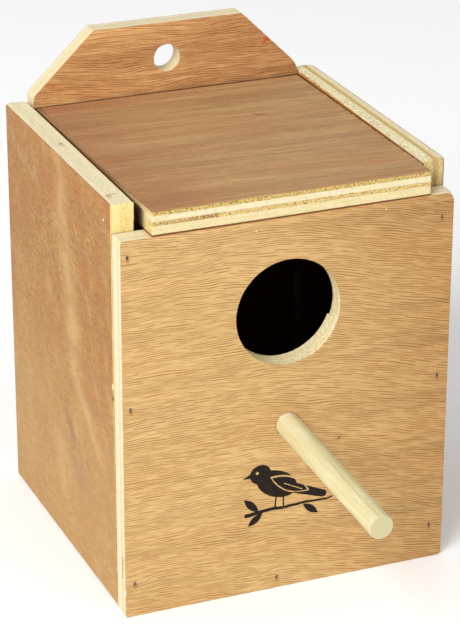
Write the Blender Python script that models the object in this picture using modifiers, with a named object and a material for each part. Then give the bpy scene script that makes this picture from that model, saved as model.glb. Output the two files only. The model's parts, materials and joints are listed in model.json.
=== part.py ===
"""A plywood nest box for small birds, with a lid that turns on two nails and a round perch.

Run it with: blender --background --python part.py
Metres, +Z up. The box stands on z = 0, its front faces -Y, and the origin is the middle of its floor's underside.
"""

import math

import bmesh
import bpy
from mathutils import Matrix, Vector

MM = 0.001
JOINT_GAP = 0.3 * MM  # between pieces that touch on the real box

# The box
BOX_WIDTH = 127.0 * MM
BOX_DEPTH = 126.0 * MM
FRONT_FACE = -BOX_DEPTH / 2
REAR_FACE = BOX_DEPTH / 2

# Front panel
FRONT_THICKNESS = 8.8 * MM
FRONT_HEIGHT = 146.2 * MM
FRONT_INNER_FACE = FRONT_FACE + FRONT_THICKNESS
ENTRY_RADIUS = 20.0 * MM
ENTRY_CENTRE = Vector((-0.5 * MM, FRONT_FACE + FRONT_THICKNESS / 2, 110.2 * MM))

# Side panels, which stand between the front panel and the box's rear
SIDE_THICKNESS = 8.5 * MM
SIDE_BOTTOM = 1.0 * MM
SIDE_TOP = 156.4 * MM
SIDE_REAR = REAR_FACE - 0.5 * MM
SIDE_REAR_ROUNDING = 3.0 * MM
SIDE_INNER_FACE = BOX_WIDTH / 2 - SIDE_THICKNESS

# Back panel, which stands between the sides and rises above them as a hanging tab
BACK_THICKNESS = 7.7 * MM
BACK_LEFT = -54.0 * MM
BACK_RIGHT = SIDE_INNER_FACE - JOINT_GAP
BACK_INNER_FACE = REAR_FACE - BACK_THICKNESS
TAB_TOP = 182.7 * MM
TAB_TOP_LEFT = -29.7 * MM
TAB_TOP_RIGHT = 30.9 * MM
TAB_SHOULDER = 159.3 * MM
TAB_LEFT_ROUNDING = 4.0 * MM
TAB_RIGHT_ROUNDING = 9.0 * MM
HANG_HOLE_RADIUS = 5.3 * MM
HANG_HOLE_CENTRE = Vector((0.0, REAR_FACE - BACK_THICKNESS / 2, 168.5 * MM))

# Floor
FLOOR_THICKNESS = 9.0 * MM

# Lid: it lies between the sides, a little askew, and turns on two nails near its rear edge
LID_THICKNESS = 9.0 * MM
LID_BOTTOM = FRONT_HEIGHT + JOINT_GAP
LID_FRONT = FRONT_FACE + 0.4 * MM
LID_REAR = BACK_INNER_FACE - 1.5 * MM
LID_FRONT_LEFT = -51.7 * MM
LID_FRONT_RIGHT = 54.4 * MM
LID_REAR_LEFT = -53.7 * MM
LID_REAR_RIGHT = 53.8 * MM
HINGE_INSET = 10.0 * MM
HINGE_AXIS = Vector((0.0, LID_REAR - HINGE_INSET, LID_BOTTOM + LID_THICKNESS / 2))

# Perch
PERCH_RADIUS = 4.5 * MM
PERCH_ROOT = Vector((-0.5 * MM, FRONT_FACE, 66.4 * MM))
PERCH_REACH = 81.5 * MM
PERCH_DROOP = math.radians(1.2)
PERCH_LEAN = math.radians(1.0)

# Brads: flat wire nails with a T head
BRAD_LENGTH = 20.0 * MM
BRAD_WIDTH = 1.25 * MM
BRAD_GAUGE = 1.0 * MM
BRAD_HEAD_WIDTH = 2.0 * MM
BRAD_HEAD_DEPTH = 0.6 * MM
BRAD_TIP = 2.0 * MM
BRAD_TIP_WIDTH = 0.4 * MM
SHOWN_SET = 0.4 * MM  # how far below the surface a head that shows is driven
HIDDEN_SET = 1.0 * MM  # and one that is filled over

# Hinge nails: round wire nails with a flat head
PIN_LENGTH = 20.0 * MM
PIN_RADIUS = 0.9 * MM
PIN_HEAD_RADIUS = 1.5 * MM
PIN_HEAD_DEPTH = 0.8 * MM
PIN_TIP = 2.5 * MM

CUT_OVERSHOOT = 2.0 * MM
ARC_STEPS = 6

# Where the nails are: across, up or along the box
SIDE_EDGE_MIDDLE = BOX_WIDTH / 2 - SIDE_THICKNESS / 2
BACK_EDGE_MIDDLE = REAR_FACE - BACK_THICKNESS / 2
FLOOR_EDGE_MIDDLE = FLOOR_THICKNESS / 2
FRONT_NAILS = {
    "front_nail_left_top": (-61.0 * MM, 140.1 * MM),
    "front_nail_left_middle": (-60.6 * MM, 82.7 * MM),
    "front_nail_left_bottom": (-59.9 * MM, 13.4 * MM),
    "front_nail_right_top": (58.8 * MM, 137.8 * MM),
    "front_nail_right_middle": (59.1 * MM, 75.4 * MM),
    "front_nail_right_bottom": (58.0 * MM, 13.7 * MM),
    "front_nail_floor": (-4.2 * MM, FLOOR_EDGE_MIDDLE),
}
BACK_NAIL_HEIGHTS = {"top": 138.0 * MM, "middle": 78.0 * MM, "bottom": 18.0 * MM}
FLOOR_NAIL_PLACES = {"front": -28.0 * MM, "rear": 30.0 * MM}

ACROSS = Vector((1.0, 0.0, 0.0))
INWARD = Vector((0.0, 1.0, 0.0))
UP = Vector((0.0, 0.0, 1.0))


def clear_scene():
    for old in list(bpy.data.objects):
        bpy.data.objects.remove(old, do_unlink=True)


def new_collection(name):
    made = bpy.data.collections.new(name)
    bpy.context.scene.collection.children.link(made)
    return made


def new_finish(name, color, roughness, metallic=0.0):
    finish = bpy.data.materials.new(name)
    finish.use_nodes = True
    shader = finish.node_tree.nodes["Principled BSDF"]
    shader.inputs["Base Color"].default_value = (*color, 1.0)
    shader.inputs["Roughness"].default_value = roughness
    shader.inputs["Metallic"].default_value = metallic
    finish.diffuse_color = (*color, 1.0)
    return finish


def new_part(name, mesh, finish, collection):
    part = bpy.data.objects.new(name, mesh)
    mesh.materials.append(finish)
    collection.objects.link(part)
    return part


def new_cutter(name, mesh, collection):
    cutter = bpy.data.objects.new(name, mesh)
    cutter.hide_render = True
    cutter.display_type = "WIRE"
    collection.objects.link(cutter)
    return cutter


def carve(part, cutters):
    """Takes every cutter out of the part. A cutter that misses it takes nothing."""
    cut = part.modifiers.new("openings", "BOOLEAN")
    cut.operation = "DIFFERENCE"
    cut.solver = "EXACT"
    cut.operand_type = "COLLECTION"
    cut.collection = cutters


def box_mesh(name, low, high):
    """A box around its own middle, with the place of that middle."""
    size = high - low
    shape = bmesh.new()
    bmesh.ops.create_cube(shape, size=1.0)
    bmesh.ops.scale(shape, vec=size, verts=shape.verts)
    mesh = bpy.data.meshes.new(name)
    shape.to_mesh(mesh)
    shape.free()
    return mesh, (low + high) / 2


def cylinder_mesh(name, radius, length, segments):
    """A cylinder along Z, around its own middle."""
    shape = bmesh.new()
    bmesh.ops.create_cone(
        shape, cap_ends=True, segments=segments, radius1=radius, radius2=radius, depth=length
    )
    mesh = bpy.data.meshes.new(name)
    shape.to_mesh(mesh)
    shape.free()
    return mesh


def rounded(corners):
    """The outline through (x, y, rounding) corners, with an arc at each that has a rounding."""
    outline = []
    for index, (x, y, radius) in enumerate(corners):
        corner = Vector((x, y))
        if radius == 0.0:
            outline.append(corner)
            continue
        before = (Vector(corners[index - 1][:2]) - corner).normalized()
        after = (Vector(corners[(index + 1) % len(corners)][:2]) - corner).normalized()
        half_angle = before.angle(after) / 2
        start = corner + before * radius / math.tan(half_angle)
        centre = corner + (before + after).normalized() * radius / math.sin(half_angle)
        arm = start - centre
        sweep = math.pi - 2 * half_angle
        turn = 1.0 if before.cross(after) < 0 else -1.0
        for step in range(ARC_STEPS + 1):
            spin = Matrix.Rotation(turn * sweep * step / ARC_STEPS, 2)
            outline.append(centre + spin @ arm)
    return outline


def outline_mesh(name, outline, thickness):
    """A flat outline in XY made into a solid as thick as this, around z = 0."""
    curve = bpy.data.curves.new(name, "CURVE")
    curve.dimensions = "2D"
    curve.fill_mode = "BOTH"
    curve.extrude = thickness / 2
    spline = curve.splines.new("POLY")
    spline.points.add(len(outline) - 1)
    for point, (x, y) in zip(spline.points, outline):
        point.co = (x, y, 0.0, 1.0)
    spline.use_cyclic_u = True
    holder = bpy.data.objects.new(name, curve)
    bpy.context.scene.collection.objects.link(holder)
    graph = bpy.context.evaluated_depsgraph_get()
    mesh = bpy.data.meshes.new_from_object(holder.evaluated_get(graph))
    bpy.data.objects.remove(holder, do_unlink=True)
    shape = bmesh.new()
    shape.from_mesh(mesh)
    bmesh.ops.remove_doubles(shape, verts=shape.verts, dist=MM / 1000)
    bmesh.ops.recalc_face_normals(shape, faces=shape.faces)
    shape.to_mesh(mesh)
    shape.free()
    return mesh


def shade_round(part):
    part.data.shade_smooth()
    part.data.set_sharp_from_angle(angle=math.radians(30))


def facing(wide, along):
    """The turn that takes local X to wide and local Y to along."""
    return Matrix((wide, along, wide.cross(along))).transposed().to_euler()


def make_front_panel(collection, cutters, finish):
    low = Vector((-BOX_WIDTH / 2, FRONT_FACE, 0.0))
    high = Vector((BOX_WIDTH / 2, FRONT_INNER_FACE, FRONT_HEIGHT))
    mesh, middle = box_mesh("front_panel", low, high)
    panel = new_part("front_panel", mesh, finish, collection)
    panel.location = middle
    carve(panel, cutters)


def make_side(name, direction, collection, cutters, finish):
    """A side panel: direction is -1 on the left and 1 on the right."""
    outer = direction * BOX_WIDTH / 2
    inner = direction * SIDE_INNER_FACE
    front = FRONT_INNER_FACE + JOINT_GAP
    corners = (
        (inner, front, 0.0),
        (outer, front, 0.0),
        (outer, SIDE_REAR, SIDE_REAR_ROUNDING),
        (inner, SIDE_REAR, SIDE_REAR_ROUNDING),
    )
    mesh = outline_mesh(name, rounded(corners), SIDE_TOP - SIDE_BOTTOM)
    panel = new_part(name, mesh, finish, collection)
    panel.location = (0.0, 0.0, (SIDE_TOP + SIDE_BOTTOM) / 2)
    carve(panel, cutters)


def make_back_panel(collection, cutters, finish):
    corners = (
        (BACK_LEFT, 0.0, 0.0),
        (BACK_RIGHT, 0.0, 0.0),
        (BACK_RIGHT, TAB_SHOULDER, TAB_RIGHT_ROUNDING),
        (TAB_TOP_RIGHT, TAB_TOP, 0.0),
        (TAB_TOP_LEFT, TAB_TOP, 0.0),
        (BACK_LEFT, TAB_SHOULDER, TAB_LEFT_ROUNDING),
    )
    mesh = outline_mesh("back_panel", rounded(corners), BACK_THICKNESS)
    panel = new_part("back_panel", mesh, finish, collection)
    panel.rotation_euler = facing(ACROSS, UP)
    panel.location = (0.0, BACK_EDGE_MIDDLE, 0.0)
    carve(panel, cutters)


def make_floor_panel(collection, cutters, finish):
    half_width = SIDE_INNER_FACE - JOINT_GAP
    low = Vector((-half_width, FRONT_INNER_FACE + JOINT_GAP, 0.0))
    high = Vector((half_width, BACK_INNER_FACE - JOINT_GAP, FLOOR_THICKNESS))
    mesh, middle = box_mesh("floor_panel", low, high)
    panel = new_part("floor_panel", mesh, finish, collection)
    panel.location = middle
    carve(panel, cutters)


def make_lid(collection, cutters, finish):
    """The lid hangs from an empty on the hinge nails' axis."""
    hinge = bpy.data.objects.new("lid_hinge", None)
    hinge.empty_display_size = HINGE_INSET
    hinge.location = HINGE_AXIS
    collection.objects.link(hinge)
    front = LID_FRONT - HINGE_AXIS.y
    corners = (
        (LID_FRONT_LEFT, front, 0.0),
        (LID_FRONT_RIGHT, front, 0.0),
        (LID_REAR_RIGHT, HINGE_INSET, 0.0),
        (LID_REAR_LEFT, HINGE_INSET, 0.0),
    )
    mesh = outline_mesh("lid", rounded(corners), LID_THICKNESS)
    lid = new_part("lid", mesh, finish, collection)
    lid.parent = hinge
    carve(lid, cutters)


def make_perch(collection, cutters, finish):
    """The dowel ends flush with the front panel's inner face. Its bore is drilled along it."""
    direction = Vector((-math.tan(PERCH_LEAN), -1.0, -math.tan(PERCH_DROOP))).normalized()
    turn = direction.to_track_quat("Z", "Y").to_euler()
    length = PERCH_REACH + FRONT_THICKNESS
    mesh = cylinder_mesh("perch_dowel", PERCH_RADIUS, length, 32)
    dowel = new_part("perch_dowel", mesh, finish, collection)
    dowel.location = PERCH_ROOT + direction * (length / 2 - FRONT_THICKNESS)
    dowel.rotation_euler = turn
    shade_round(dowel)
    bore = cylinder_mesh("perch_bore", PERCH_RADIUS + JOINT_GAP, 3 * FRONT_THICKNESS, 32)
    cutter = new_cutter("perch_bore", bore, cutters)
    cutter.location = PERCH_ROOT
    cutter.rotation_euler = turn


def make_openings(cutters):
    """The round entry hole in the front, and the hole that the box hangs by."""
    holes = (
        ("entry_hole", ENTRY_CENTRE, ENTRY_RADIUS, FRONT_THICKNESS, 64),
        ("hang_hole", HANG_HOLE_CENTRE, HANG_HOLE_RADIUS, BACK_THICKNESS, 32),
    )
    for name, centre, radius, thickness, segments in holes:
        mesh = cylinder_mesh(name, radius, thickness + CUT_OVERSHOOT, segments)
        cutter = new_cutter(name, mesh, cutters)
        cutter.location = centre
        cutter.rotation_euler = (math.radians(90), 0.0, 0.0)


def brad_outline(gap, above):
    """Half the width of the T at each depth, from above the head down to the tip, then mirrored."""
    head = BRAD_HEAD_WIDTH / 2 + gap
    shank = BRAD_WIDTH / 2 + gap
    tip = BRAD_TIP_WIDTH / 2 + gap
    right = (
        (head, -above),
        (head, BRAD_HEAD_DEPTH + gap),
        (shank, BRAD_HEAD_DEPTH + gap),
        (shank, BRAD_LENGTH - BRAD_TIP),
        (tip, BRAD_LENGTH + gap),
    )
    left = tuple((-x, y) for x, y in reversed(right))
    return right + left


def make_brad(name, surface_point, along, shows, collection, cutters, finish):
    """A brad driven along a direction from a point on the surface, and the socket that it sits in."""
    depth = SHOWN_SET if shows else HIDDEN_SET
    above = depth + CUT_OVERSHOOT if shows else JOINT_GAP
    shape = outline_mesh(name, brad_outline(0.0, 0.0), BRAD_GAUGE)
    socket = outline_mesh(
        name + "_socket", brad_outline(JOINT_GAP, above), BRAD_GAUGE + 2 * JOINT_GAP
    )
    placed = (
        new_part(name, shape, finish, collection),
        new_cutter(name + "_socket", socket, cutters),
    )
    for piece in placed:
        piece.location = surface_point + along * depth
        piece.rotation_euler = facing(UP, along)


def make_front_nails(collection, cutters, finish):
    for name, (across, height) in FRONT_NAILS.items():
        surface_point = Vector((across, FRONT_FACE, height))
        make_brad(name, surface_point, INWARD, True, collection, cutters, finish)


def make_hidden_nails(collection, cutters, finish):
    for side, direction in (("left", -1.0), ("right", 1.0)):
        along = -direction * ACROSS
        outer = direction * BOX_WIDTH / 2
        for place, height in BACK_NAIL_HEIGHTS.items():
            point = Vector((outer, BACK_EDGE_MIDDLE, height))
            name = f"{side}_back_nail_{place}"
            make_brad(name, point, along, False, collection, cutters, finish)
        for place, depth in FLOOR_NAIL_PLACES.items():
            point = Vector((outer, depth, FLOOR_EDGE_MIDDLE))
            name = f"{side}_floor_nail_{place}"
            make_brad(name, point, along, False, collection, cutters, finish)
    point = Vector((0.0, REAR_FACE, FLOOR_EDGE_MIDDLE))
    make_brad("back_floor_nail", point, -INWARD, False, collection, cutters, finish)


def turned_mesh(name, profile):
    """The profile's (radius, depth) points as edges, to be turned about Z."""
    mesh = bpy.data.meshes.new(name)
    points = [(radius, 0.0, depth) for radius, depth in profile]
    edges = [(index, index + 1) for index in range(len(points) - 1)]
    mesh.from_pydata(points, edges, [])
    return mesh


def turn_round(part):
    screw = part.modifiers.new("turned", "SCREW")
    screw.axis = "Z"
    screw.steps = 20
    screw.render_steps = 20
    screw.use_merge_vertices = True
    screw.merge_threshold = MM / 1000
    screw.use_normal_flip = True


def pin_profile(gap):
    return (
        (0.0, -gap),
        (PIN_HEAD_RADIUS + gap, -gap),
        (PIN_HEAD_RADIUS + gap, PIN_HEAD_DEPTH + gap),
        (PIN_RADIUS + gap, PIN_HEAD_DEPTH + gap),
        (PIN_RADIUS + gap, PIN_LENGTH - PIN_TIP),
        (0.0, PIN_LENGTH + gap),
    )


def make_hinge_nails(collection, cutters, finish):
    """A nail through each side into the lid's edge, with running clearance in both."""
    for side, direction in (("left", -1.0), ("right", 1.0)):
        name = f"hinge_nail_{side}"
        head = direction * (BOX_WIDTH / 2 - HIDDEN_SET)
        placed = (
            new_part(name, turned_mesh(name, pin_profile(0.0)), finish, collection),
            new_cutter(
                name + "_socket", turned_mesh(name + "_socket", pin_profile(JOINT_GAP)), cutters
            ),
        )
        for piece in placed:
            turn_round(piece)
            piece.location = (head, HINGE_AXIS.y, HINGE_AXIS.z)
            piece.rotation_euler = (0.0, -direction * math.radians(90), 0.0)


def main():
    clear_scene()
    nest_box = new_collection("nest_box")
    cutters = new_collection("cutters")
    front_ply = new_finish("front_plywood", (0.65, 0.36, 0.15), 0.7)
    side_ply = new_finish("side_plywood", (0.47, 0.22, 0.10), 0.7)
    lid_ply = new_finish("lid_plywood", (0.46, 0.24, 0.12), 0.65)
    back_ply = new_finish("back_plywood", (0.50, 0.23, 0.09), 0.7)
    floor_ply = new_finish("floor_plywood", (0.62, 0.42, 0.22), 0.75)
    dowel_wood = new_finish("dowel_wood", (0.78, 0.57, 0.30), 0.6)
    nail_steel = new_finish("nail_steel", (0.28, 0.29, 0.32), 0.4, metallic=1.0)
    make_openings(cutters)
    make_front_nails(nest_box, cutters, nail_steel)
    make_hidden_nails(nest_box, cutters, nail_steel)
    make_hinge_nails(nest_box, cutters, nail_steel)
    make_perch(nest_box, cutters, dowel_wood)
    make_front_panel(nest_box, cutters, front_ply)
    make_side("left_side", -1.0, nest_box, cutters, side_ply)
    make_side("right_side", 1.0, nest_box, cutters, side_ply)
    make_back_panel(nest_box, cutters, back_ply)
    make_floor_panel(nest_box, cutters, floor_ply)
    make_lid(nest_box, cutters, lid_ply)


main()
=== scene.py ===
"""The looks of the plywood nest box: worn, sawn boards, a dowel perch, nails and a white studio.

Lengths are in metres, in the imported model's frame: +Z up, the front faces -Y, the box stands on
z = 0. Inside a material, lengths are in millimetres.
"""

import json
import math

import bmesh
import bpy
from bpy.props import FloatProperty, FloatVectorProperty, IntProperty, PointerProperty
from mathutils import Matrix, Vector, noise
from mathutils.geometry import tessellate_polygon

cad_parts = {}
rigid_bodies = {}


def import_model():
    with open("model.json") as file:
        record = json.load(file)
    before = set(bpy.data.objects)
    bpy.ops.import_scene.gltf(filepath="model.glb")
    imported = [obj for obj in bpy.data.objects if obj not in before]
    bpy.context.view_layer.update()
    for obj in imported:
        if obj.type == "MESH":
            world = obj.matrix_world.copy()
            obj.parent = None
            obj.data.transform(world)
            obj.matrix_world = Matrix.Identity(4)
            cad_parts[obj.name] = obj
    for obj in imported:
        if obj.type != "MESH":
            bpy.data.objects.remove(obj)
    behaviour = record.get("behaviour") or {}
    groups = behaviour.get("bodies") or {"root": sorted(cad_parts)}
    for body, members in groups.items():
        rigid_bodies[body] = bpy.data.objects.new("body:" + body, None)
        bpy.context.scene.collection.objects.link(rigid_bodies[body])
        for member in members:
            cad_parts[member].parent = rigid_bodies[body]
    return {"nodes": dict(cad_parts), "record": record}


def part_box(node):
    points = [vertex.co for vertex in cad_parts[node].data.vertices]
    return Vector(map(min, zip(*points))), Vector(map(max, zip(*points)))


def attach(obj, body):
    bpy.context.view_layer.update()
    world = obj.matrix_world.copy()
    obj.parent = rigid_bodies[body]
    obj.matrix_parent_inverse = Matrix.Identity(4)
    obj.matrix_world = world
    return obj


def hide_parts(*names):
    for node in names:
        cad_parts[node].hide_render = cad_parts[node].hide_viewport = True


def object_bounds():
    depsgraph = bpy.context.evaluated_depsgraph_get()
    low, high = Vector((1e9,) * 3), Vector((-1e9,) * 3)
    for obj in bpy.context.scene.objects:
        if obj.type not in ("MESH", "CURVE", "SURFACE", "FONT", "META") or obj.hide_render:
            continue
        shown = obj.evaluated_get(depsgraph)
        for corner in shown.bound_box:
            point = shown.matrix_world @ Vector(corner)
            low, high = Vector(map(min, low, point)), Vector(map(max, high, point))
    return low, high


bl_info = {
    "name": "Plywood nest box",
    "version": (1, 0, 0),
    "blender": (4, 5, 0),
    "location": "View3D > Sidebar > Nest box",
    "description": "Builds the boards, perch, nails and studio of a plywood nest box",
    "category": "Object",
}

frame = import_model()
CAD_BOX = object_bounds()

MM = 0.001
X_AXIS, Y_AXIS, Z_AXIS = Vector((1, 0, 0)), Vector((0, 1, 0)), Vector((0, 0, 1))

FACE_VENEER = 0.38 * MM
GRAIN_RELIEF = 0.14 * MM
GLUE_BROWN = (0.30, 0.15, 0.05)
# How far a printed edge takes to fade, in millimetres.
PRINT_EDGE = 0.10


# ---------------------------------------------------------------- settings


class NestBoxBoardSettings(bpy.types.PropertyGroup):
    """How the boards were sawn and how worn they are."""

    step: FloatProperty(
        name="Edge step",
        description="Distance between points along a sawn edge",
        default=0.5 * MM,
        unit="LENGTH",
    )
    eased: FloatProperty(
        name="Eased edge",
        description="Radius that handling has worn on the arrises",
        default=0.22 * MM,
        unit="LENGTH",
    )
    saw_marks: FloatProperty(
        name="Saw marks",
        description="Depth of the roughness that the saw left on the edges",
        default=0.08 * MM,
        unit="LENGTH",
    )
    chips: FloatProperty(
        name="Chips",
        description="Depth of the small chips broken out of the face veneers' edges",
        default=0.35 * MM,
        unit="LENGTH",
    )
    glue_gap: FloatProperty(
        name="Joint gap",
        description="Gap left between boards that are nailed tight",
        default=0.06 * MM,
        unit="LENGTH",
    )


class NestBoxFibreSettings(bpy.types.PropertyGroup):
    """The torn wood fibres that stand out of the sawn edges."""

    length: FloatProperty(
        name="Fibre length",
        description="Length of the longest fibres",
        default=0.9 * MM,
        unit="LENGTH",
    )
    radius: FloatProperty(
        name="Fibre radius",
        description="Radius of a fibre at its root",
        default=0.06 * MM,
        unit="LENGTH",
    )
    spacing: FloatProperty(
        name="Fibre spacing",
        description="Distance between fibres along an edge",
        default=0.5 * MM,
        unit="LENGTH",
    )
    seed: IntProperty(name="Seed", description="Seed of the fibres' scatter", default=7)


class NestBoxColourSettings(bpy.types.PropertyGroup):
    """The woods' main colours, as linear values."""

    front: FloatVectorProperty(
        name="Front veneer",
        description="Light tone of the front panel's face",
        default=(0.650, 0.433, 0.183),
        size=3,
        subtype="COLOR",
    )
    side: FloatVectorProperty(
        name="Side veneer",
        description="Light tone of the side panels' faces",
        default=(0.455, 0.264, 0.088),
        size=3,
        subtype="COLOR",
    )
    lid: FloatVectorProperty(
        name="Lid veneer",
        description="Light tone of the lid's face",
        default=(0.500, 0.314, 0.142),
        size=3,
        subtype="COLOR",
    )
    back: FloatVectorProperty(
        name="Back veneer",
        description="Light tone of the back panel's face",
        default=(0.725, 0.428, 0.182),
        size=3,
        subtype="COLOR",
    )
    cream: FloatVectorProperty(
        name="Pale ply",
        description="The inner plies' pale tone",
        default=(0.80, 0.71, 0.46),
        size=3,
        subtype="COLOR",
    )
    dowel: FloatVectorProperty(
        name="Dowel",
        description="The perch's pale wood",
        default=(0.665, 0.62, 0.385),
        size=3,
        subtype="COLOR",
    )
    ink: FloatVectorProperty(
        name="Ink",
        description="The printed stamp's ink",
        default=(0.014, 0.009, 0.006),
        size=3,
        subtype="COLOR",
    )


class NestBoxStudioSettings(bpy.types.PropertyGroup):
    """The camera and the lights."""

    place: FloatVectorProperty(
        name="Camera place",
        description="Where the camera stands",
        default=(-0.3486, -0.8439, 0.4806),
        size=3,
        subtype="TRANSLATION",
        unit="LENGTH",
    )
    azimuth: FloatProperty(
        name="Azimuth",
        description="How far the camera stands round from straight in front",
        default=math.radians(-22.88),
        subtype="ANGLE",
    )
    elevation: FloatProperty(
        name="Elevation",
        description="How far the camera looks down",
        default=math.radians(24.11),
        subtype="ANGLE",
    )
    roll: FloatProperty(
        name="Roll",
        description="The camera's turn about its own line of sight",
        default=math.radians(0.25),
        subtype="ANGLE",
    )
    lens: FloatProperty(
        name="Focal length",
        description="Focal length in millimetres on a 36 mm sensor",
        default=152.26,
    )
    key: FloatProperty(
        name="Key light", description="Power of the large soft light, in watts", default=68.0
    )
    sky: FloatProperty(
        name="Room light", description="Brightness of the white room around the box", default=0.60
    )


# ---------------------------------------------------------------- shader nodes


class Value:
    """A number that varies over a surface. Python's operators on it add Math nodes."""

    def __init__(self, maker, socket):
        self.maker = maker
        self.socket = socket

    def maths(self, operation, *terms):
        made = self.maker.add("ShaderNodeMath", {"operation": operation}, dict(enumerate(terms)))
        return Value(self.maker, made["Value"])

    def __add__(self, other):
        return self.maths("ADD", self, other)

    def __radd__(self, other):
        return self.maths("ADD", other, self)

    def __sub__(self, other):
        return self.maths("SUBTRACT", self, other)

    def __rsub__(self, other):
        return self.maths("SUBTRACT", other, self)

    def __mul__(self, other):
        return self.maths("MULTIPLY", self, other)

    def __rmul__(self, other):
        return self.maths("MULTIPLY", other, self)

    def __truediv__(self, other):
        return self.maths("DIVIDE", self, other)

    def __pow__(self, other):
        return self.maths("POWER", self, other)

    def __abs__(self):
        return self.maths("ABSOLUTE", self)

    def __floor__(self):
        return self.maths("FLOOR", self)

    def at_most(self, other):
        return self.maths("MINIMUM", self, other)

    def at_least(self, other):
        return self.maths("MAXIMUM", self, other)

    def rise(self, low, high):
        """0 below low and 1 above high, with a soft step between them."""
        settings = {"interpolation_type": "SMOOTHSTEP"}
        sockets = {"Value": self, "From Min": low, "From Max": high}
        return Value(self.maker, self.maker.add("ShaderNodeMapRange", settings, sockets)["Result"])


class Finish:
    """A material and the one way in which nodes are added to it."""

    def __init__(self, name, roughness=0.7, metallic=0.0, specular=0.35):
        self.material = bpy.data.materials.new(name)
        self.material.use_nodes = True
        self.nodes = self.material.node_tree.nodes
        self.links = self.material.node_tree.links
        self.shader = self.nodes["Principled BSDF"]
        self.shader.inputs["Roughness"].default_value = roughness
        self.shader.inputs["Metallic"].default_value = metallic
        self.shader.inputs["Specular IOR Level"].default_value = specular

    def add(self, kind, settings=None, sockets=None):
        """Adds a node, sets it up, then gives its sockets values or links. Returns its outputs."""
        node = self.nodes.new(kind)
        for name, value in (settings or {}).items():
            setattr(node, name, value)
        for name, value in (sockets or {}).items():
            self.fill(self.socket_of(node.inputs, name), value)
        return node.outputs

    def socket_of(self, sockets, name):
        """The socket with this number, name or identifier."""
        if isinstance(name, int):
            return sockets[name]
        return next(s for s in sockets if name in (s.name, s.identifier))

    def fill(self, socket, value):
        """Links a value to the socket, or sets a plain number or colour on it."""
        if isinstance(value, Value):
            value = value.socket
        if isinstance(value, bpy.types.NodeSocket):
            self.links.new(value, socket)
        elif socket.type == "RGBA" and len(value) == 3:
            socket.default_value = (*value, 1.0)
        else:
            socket.default_value = value

    def place(self, middle=(0.0, 0.0, 0.0)):
        """Object coordinates, in millimetres from a point, as three values."""
        found = self.add("ShaderNodeTexCoord")["Object"]
        shifted = self.add(
            "ShaderNodeMapping",
            {"vector_type": "POINT"},
            {
                "Vector": found,
                "Location": tuple(-m / MM for m in middle),
                "Scale": (1 / MM, 1 / MM, 1 / MM),
            },
        )["Vector"]
        parts = self.add("ShaderNodeSeparateXYZ", None, {"Vector": shifted})
        return tuple(Value(self, parts[axis]) for axis in "XYZ")

    def vector(self, x, y, z):
        return self.add("ShaderNodeCombineXYZ", None, {"X": x, "Y": y, "Z": z})["Vector"]

    def noise(self, x, y, z, detail=2.0, rough=0.5):
        """Noise from 0 to 1, about 0.5, on coordinates that are already in its own size."""
        sockets = {
            "Vector": self.vector(x, y, z),
            "Scale": 1.0,
            "Detail": detail,
            "Roughness": rough,
        }
        settings = {"noise_dimensions": "3D"}
        return Value(self, self.add("ShaderNodeTexNoise", settings, sockets)[0])

    def mix(self, share, first, second, blend="MIX"):
        """The second colour laid over the first, from 0 for none of it to 1."""
        settings = {"data_type": "RGBA", "blend_type": blend, "clamp_factor": True}
        sockets = {"Factor_Float": share, "A_Color": first, "B_Color": second}
        made = self.add("ShaderNodeMix", settings, sockets)
        return self.socket_of(made, "Result_Color")

    def coats(self, colour, coats):
        """Lays coats over a colour, one after another. Each is (share, colour)."""
        for share, coat in coats:
            colour = self.mix(share, colour, coat)
        return colour

    def bump(self, height, depth, strength):
        """Turns a height from 0 to 1 into a relief this deep."""
        sockets = {"Height": height, "Distance": depth, "Strength": strength}
        return self.add("ShaderNodeBump", None, sockets)["Normal"]

    def spot(self, across, up, centre, radii, turn=0.0, soft=0.35):
        """1 inside an ellipse on the two coordinates and 0 outside it."""
        a, b = across - centre[0], up - centre[1]
        if turn:
            a, b = (
                a * math.cos(turn) + b * math.sin(turn),
                b * math.cos(turn) - a * math.sin(turn),
            )
        far = (a / radii[0]) ** 2.0 + (b / radii[1]) ** 2.0
        return 1.0 - far.rise(1.0 - soft, 1.0 + soft)

    def blade(self, across, up, start, end, half_width):
        """1 inside a leaf that is pointed at both ends."""
        run = (end[0] - start[0], end[1] - start[1])
        length = math.hypot(*run)
        ahead = (run[0] / length, run[1] / length)
        a, b = across - start[0], up - start[1]
        along = (a * ahead[0] + b * ahead[1]) / length
        off = abs(a * ahead[1] - b * ahead[0])
        return (along * (1.0 - along) * (4 * half_width) - off).rise(0.0, PRINT_EDGE)

    def stroke(self, across, up, start, end, half_widths):
        """1 inside a round-ended bar that goes from one half width to the other."""
        run = (end[0] - start[0], end[1] - start[1])
        a, b = across - start[0], up - start[1]
        share = (a * run[0] + b * run[1]) / (run[0] ** 2 + run[1] ** 2)
        share = share.at_least(0.0).at_most(1.0)
        off_a, off_b = a - share * run[0], b - share * run[1]
        off = (off_a * off_a + off_b * off_b) ** 0.5
        reach = share * (half_widths[1] - half_widths[0]) + half_widths[0]
        return (reach - off).rise(0.0, PRINT_EDGE)

    def facing(self, axis):
        """1 where the surface squarely faces a main axis and 0 where it runs along it."""
        normal = self.add("ShaderNodeTexCoord")["Normal"]
        parts = self.add("ShaderNodeSeparateXYZ", None, {"Vector": normal})
        index = max(range(3), key=lambda i: abs(axis[i]))
        return abs(Value(self, parts["XYZ"[index]]))

    def out(self, colour, roughness, normal=None):
        """Gives the shader its looks and returns the finished material."""
        for name, value in (("Base Color", colour), ("Roughness", roughness), ("Normal", normal)):
            if value is not None:
                self.fill(self.shader.inputs[name], value)
        return self.material


def shade(colour, amount):
    """A colour made darker, below 1, or lighter, above 1."""
    return tuple(min(1.0, c * amount) for c in colour)


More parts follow.
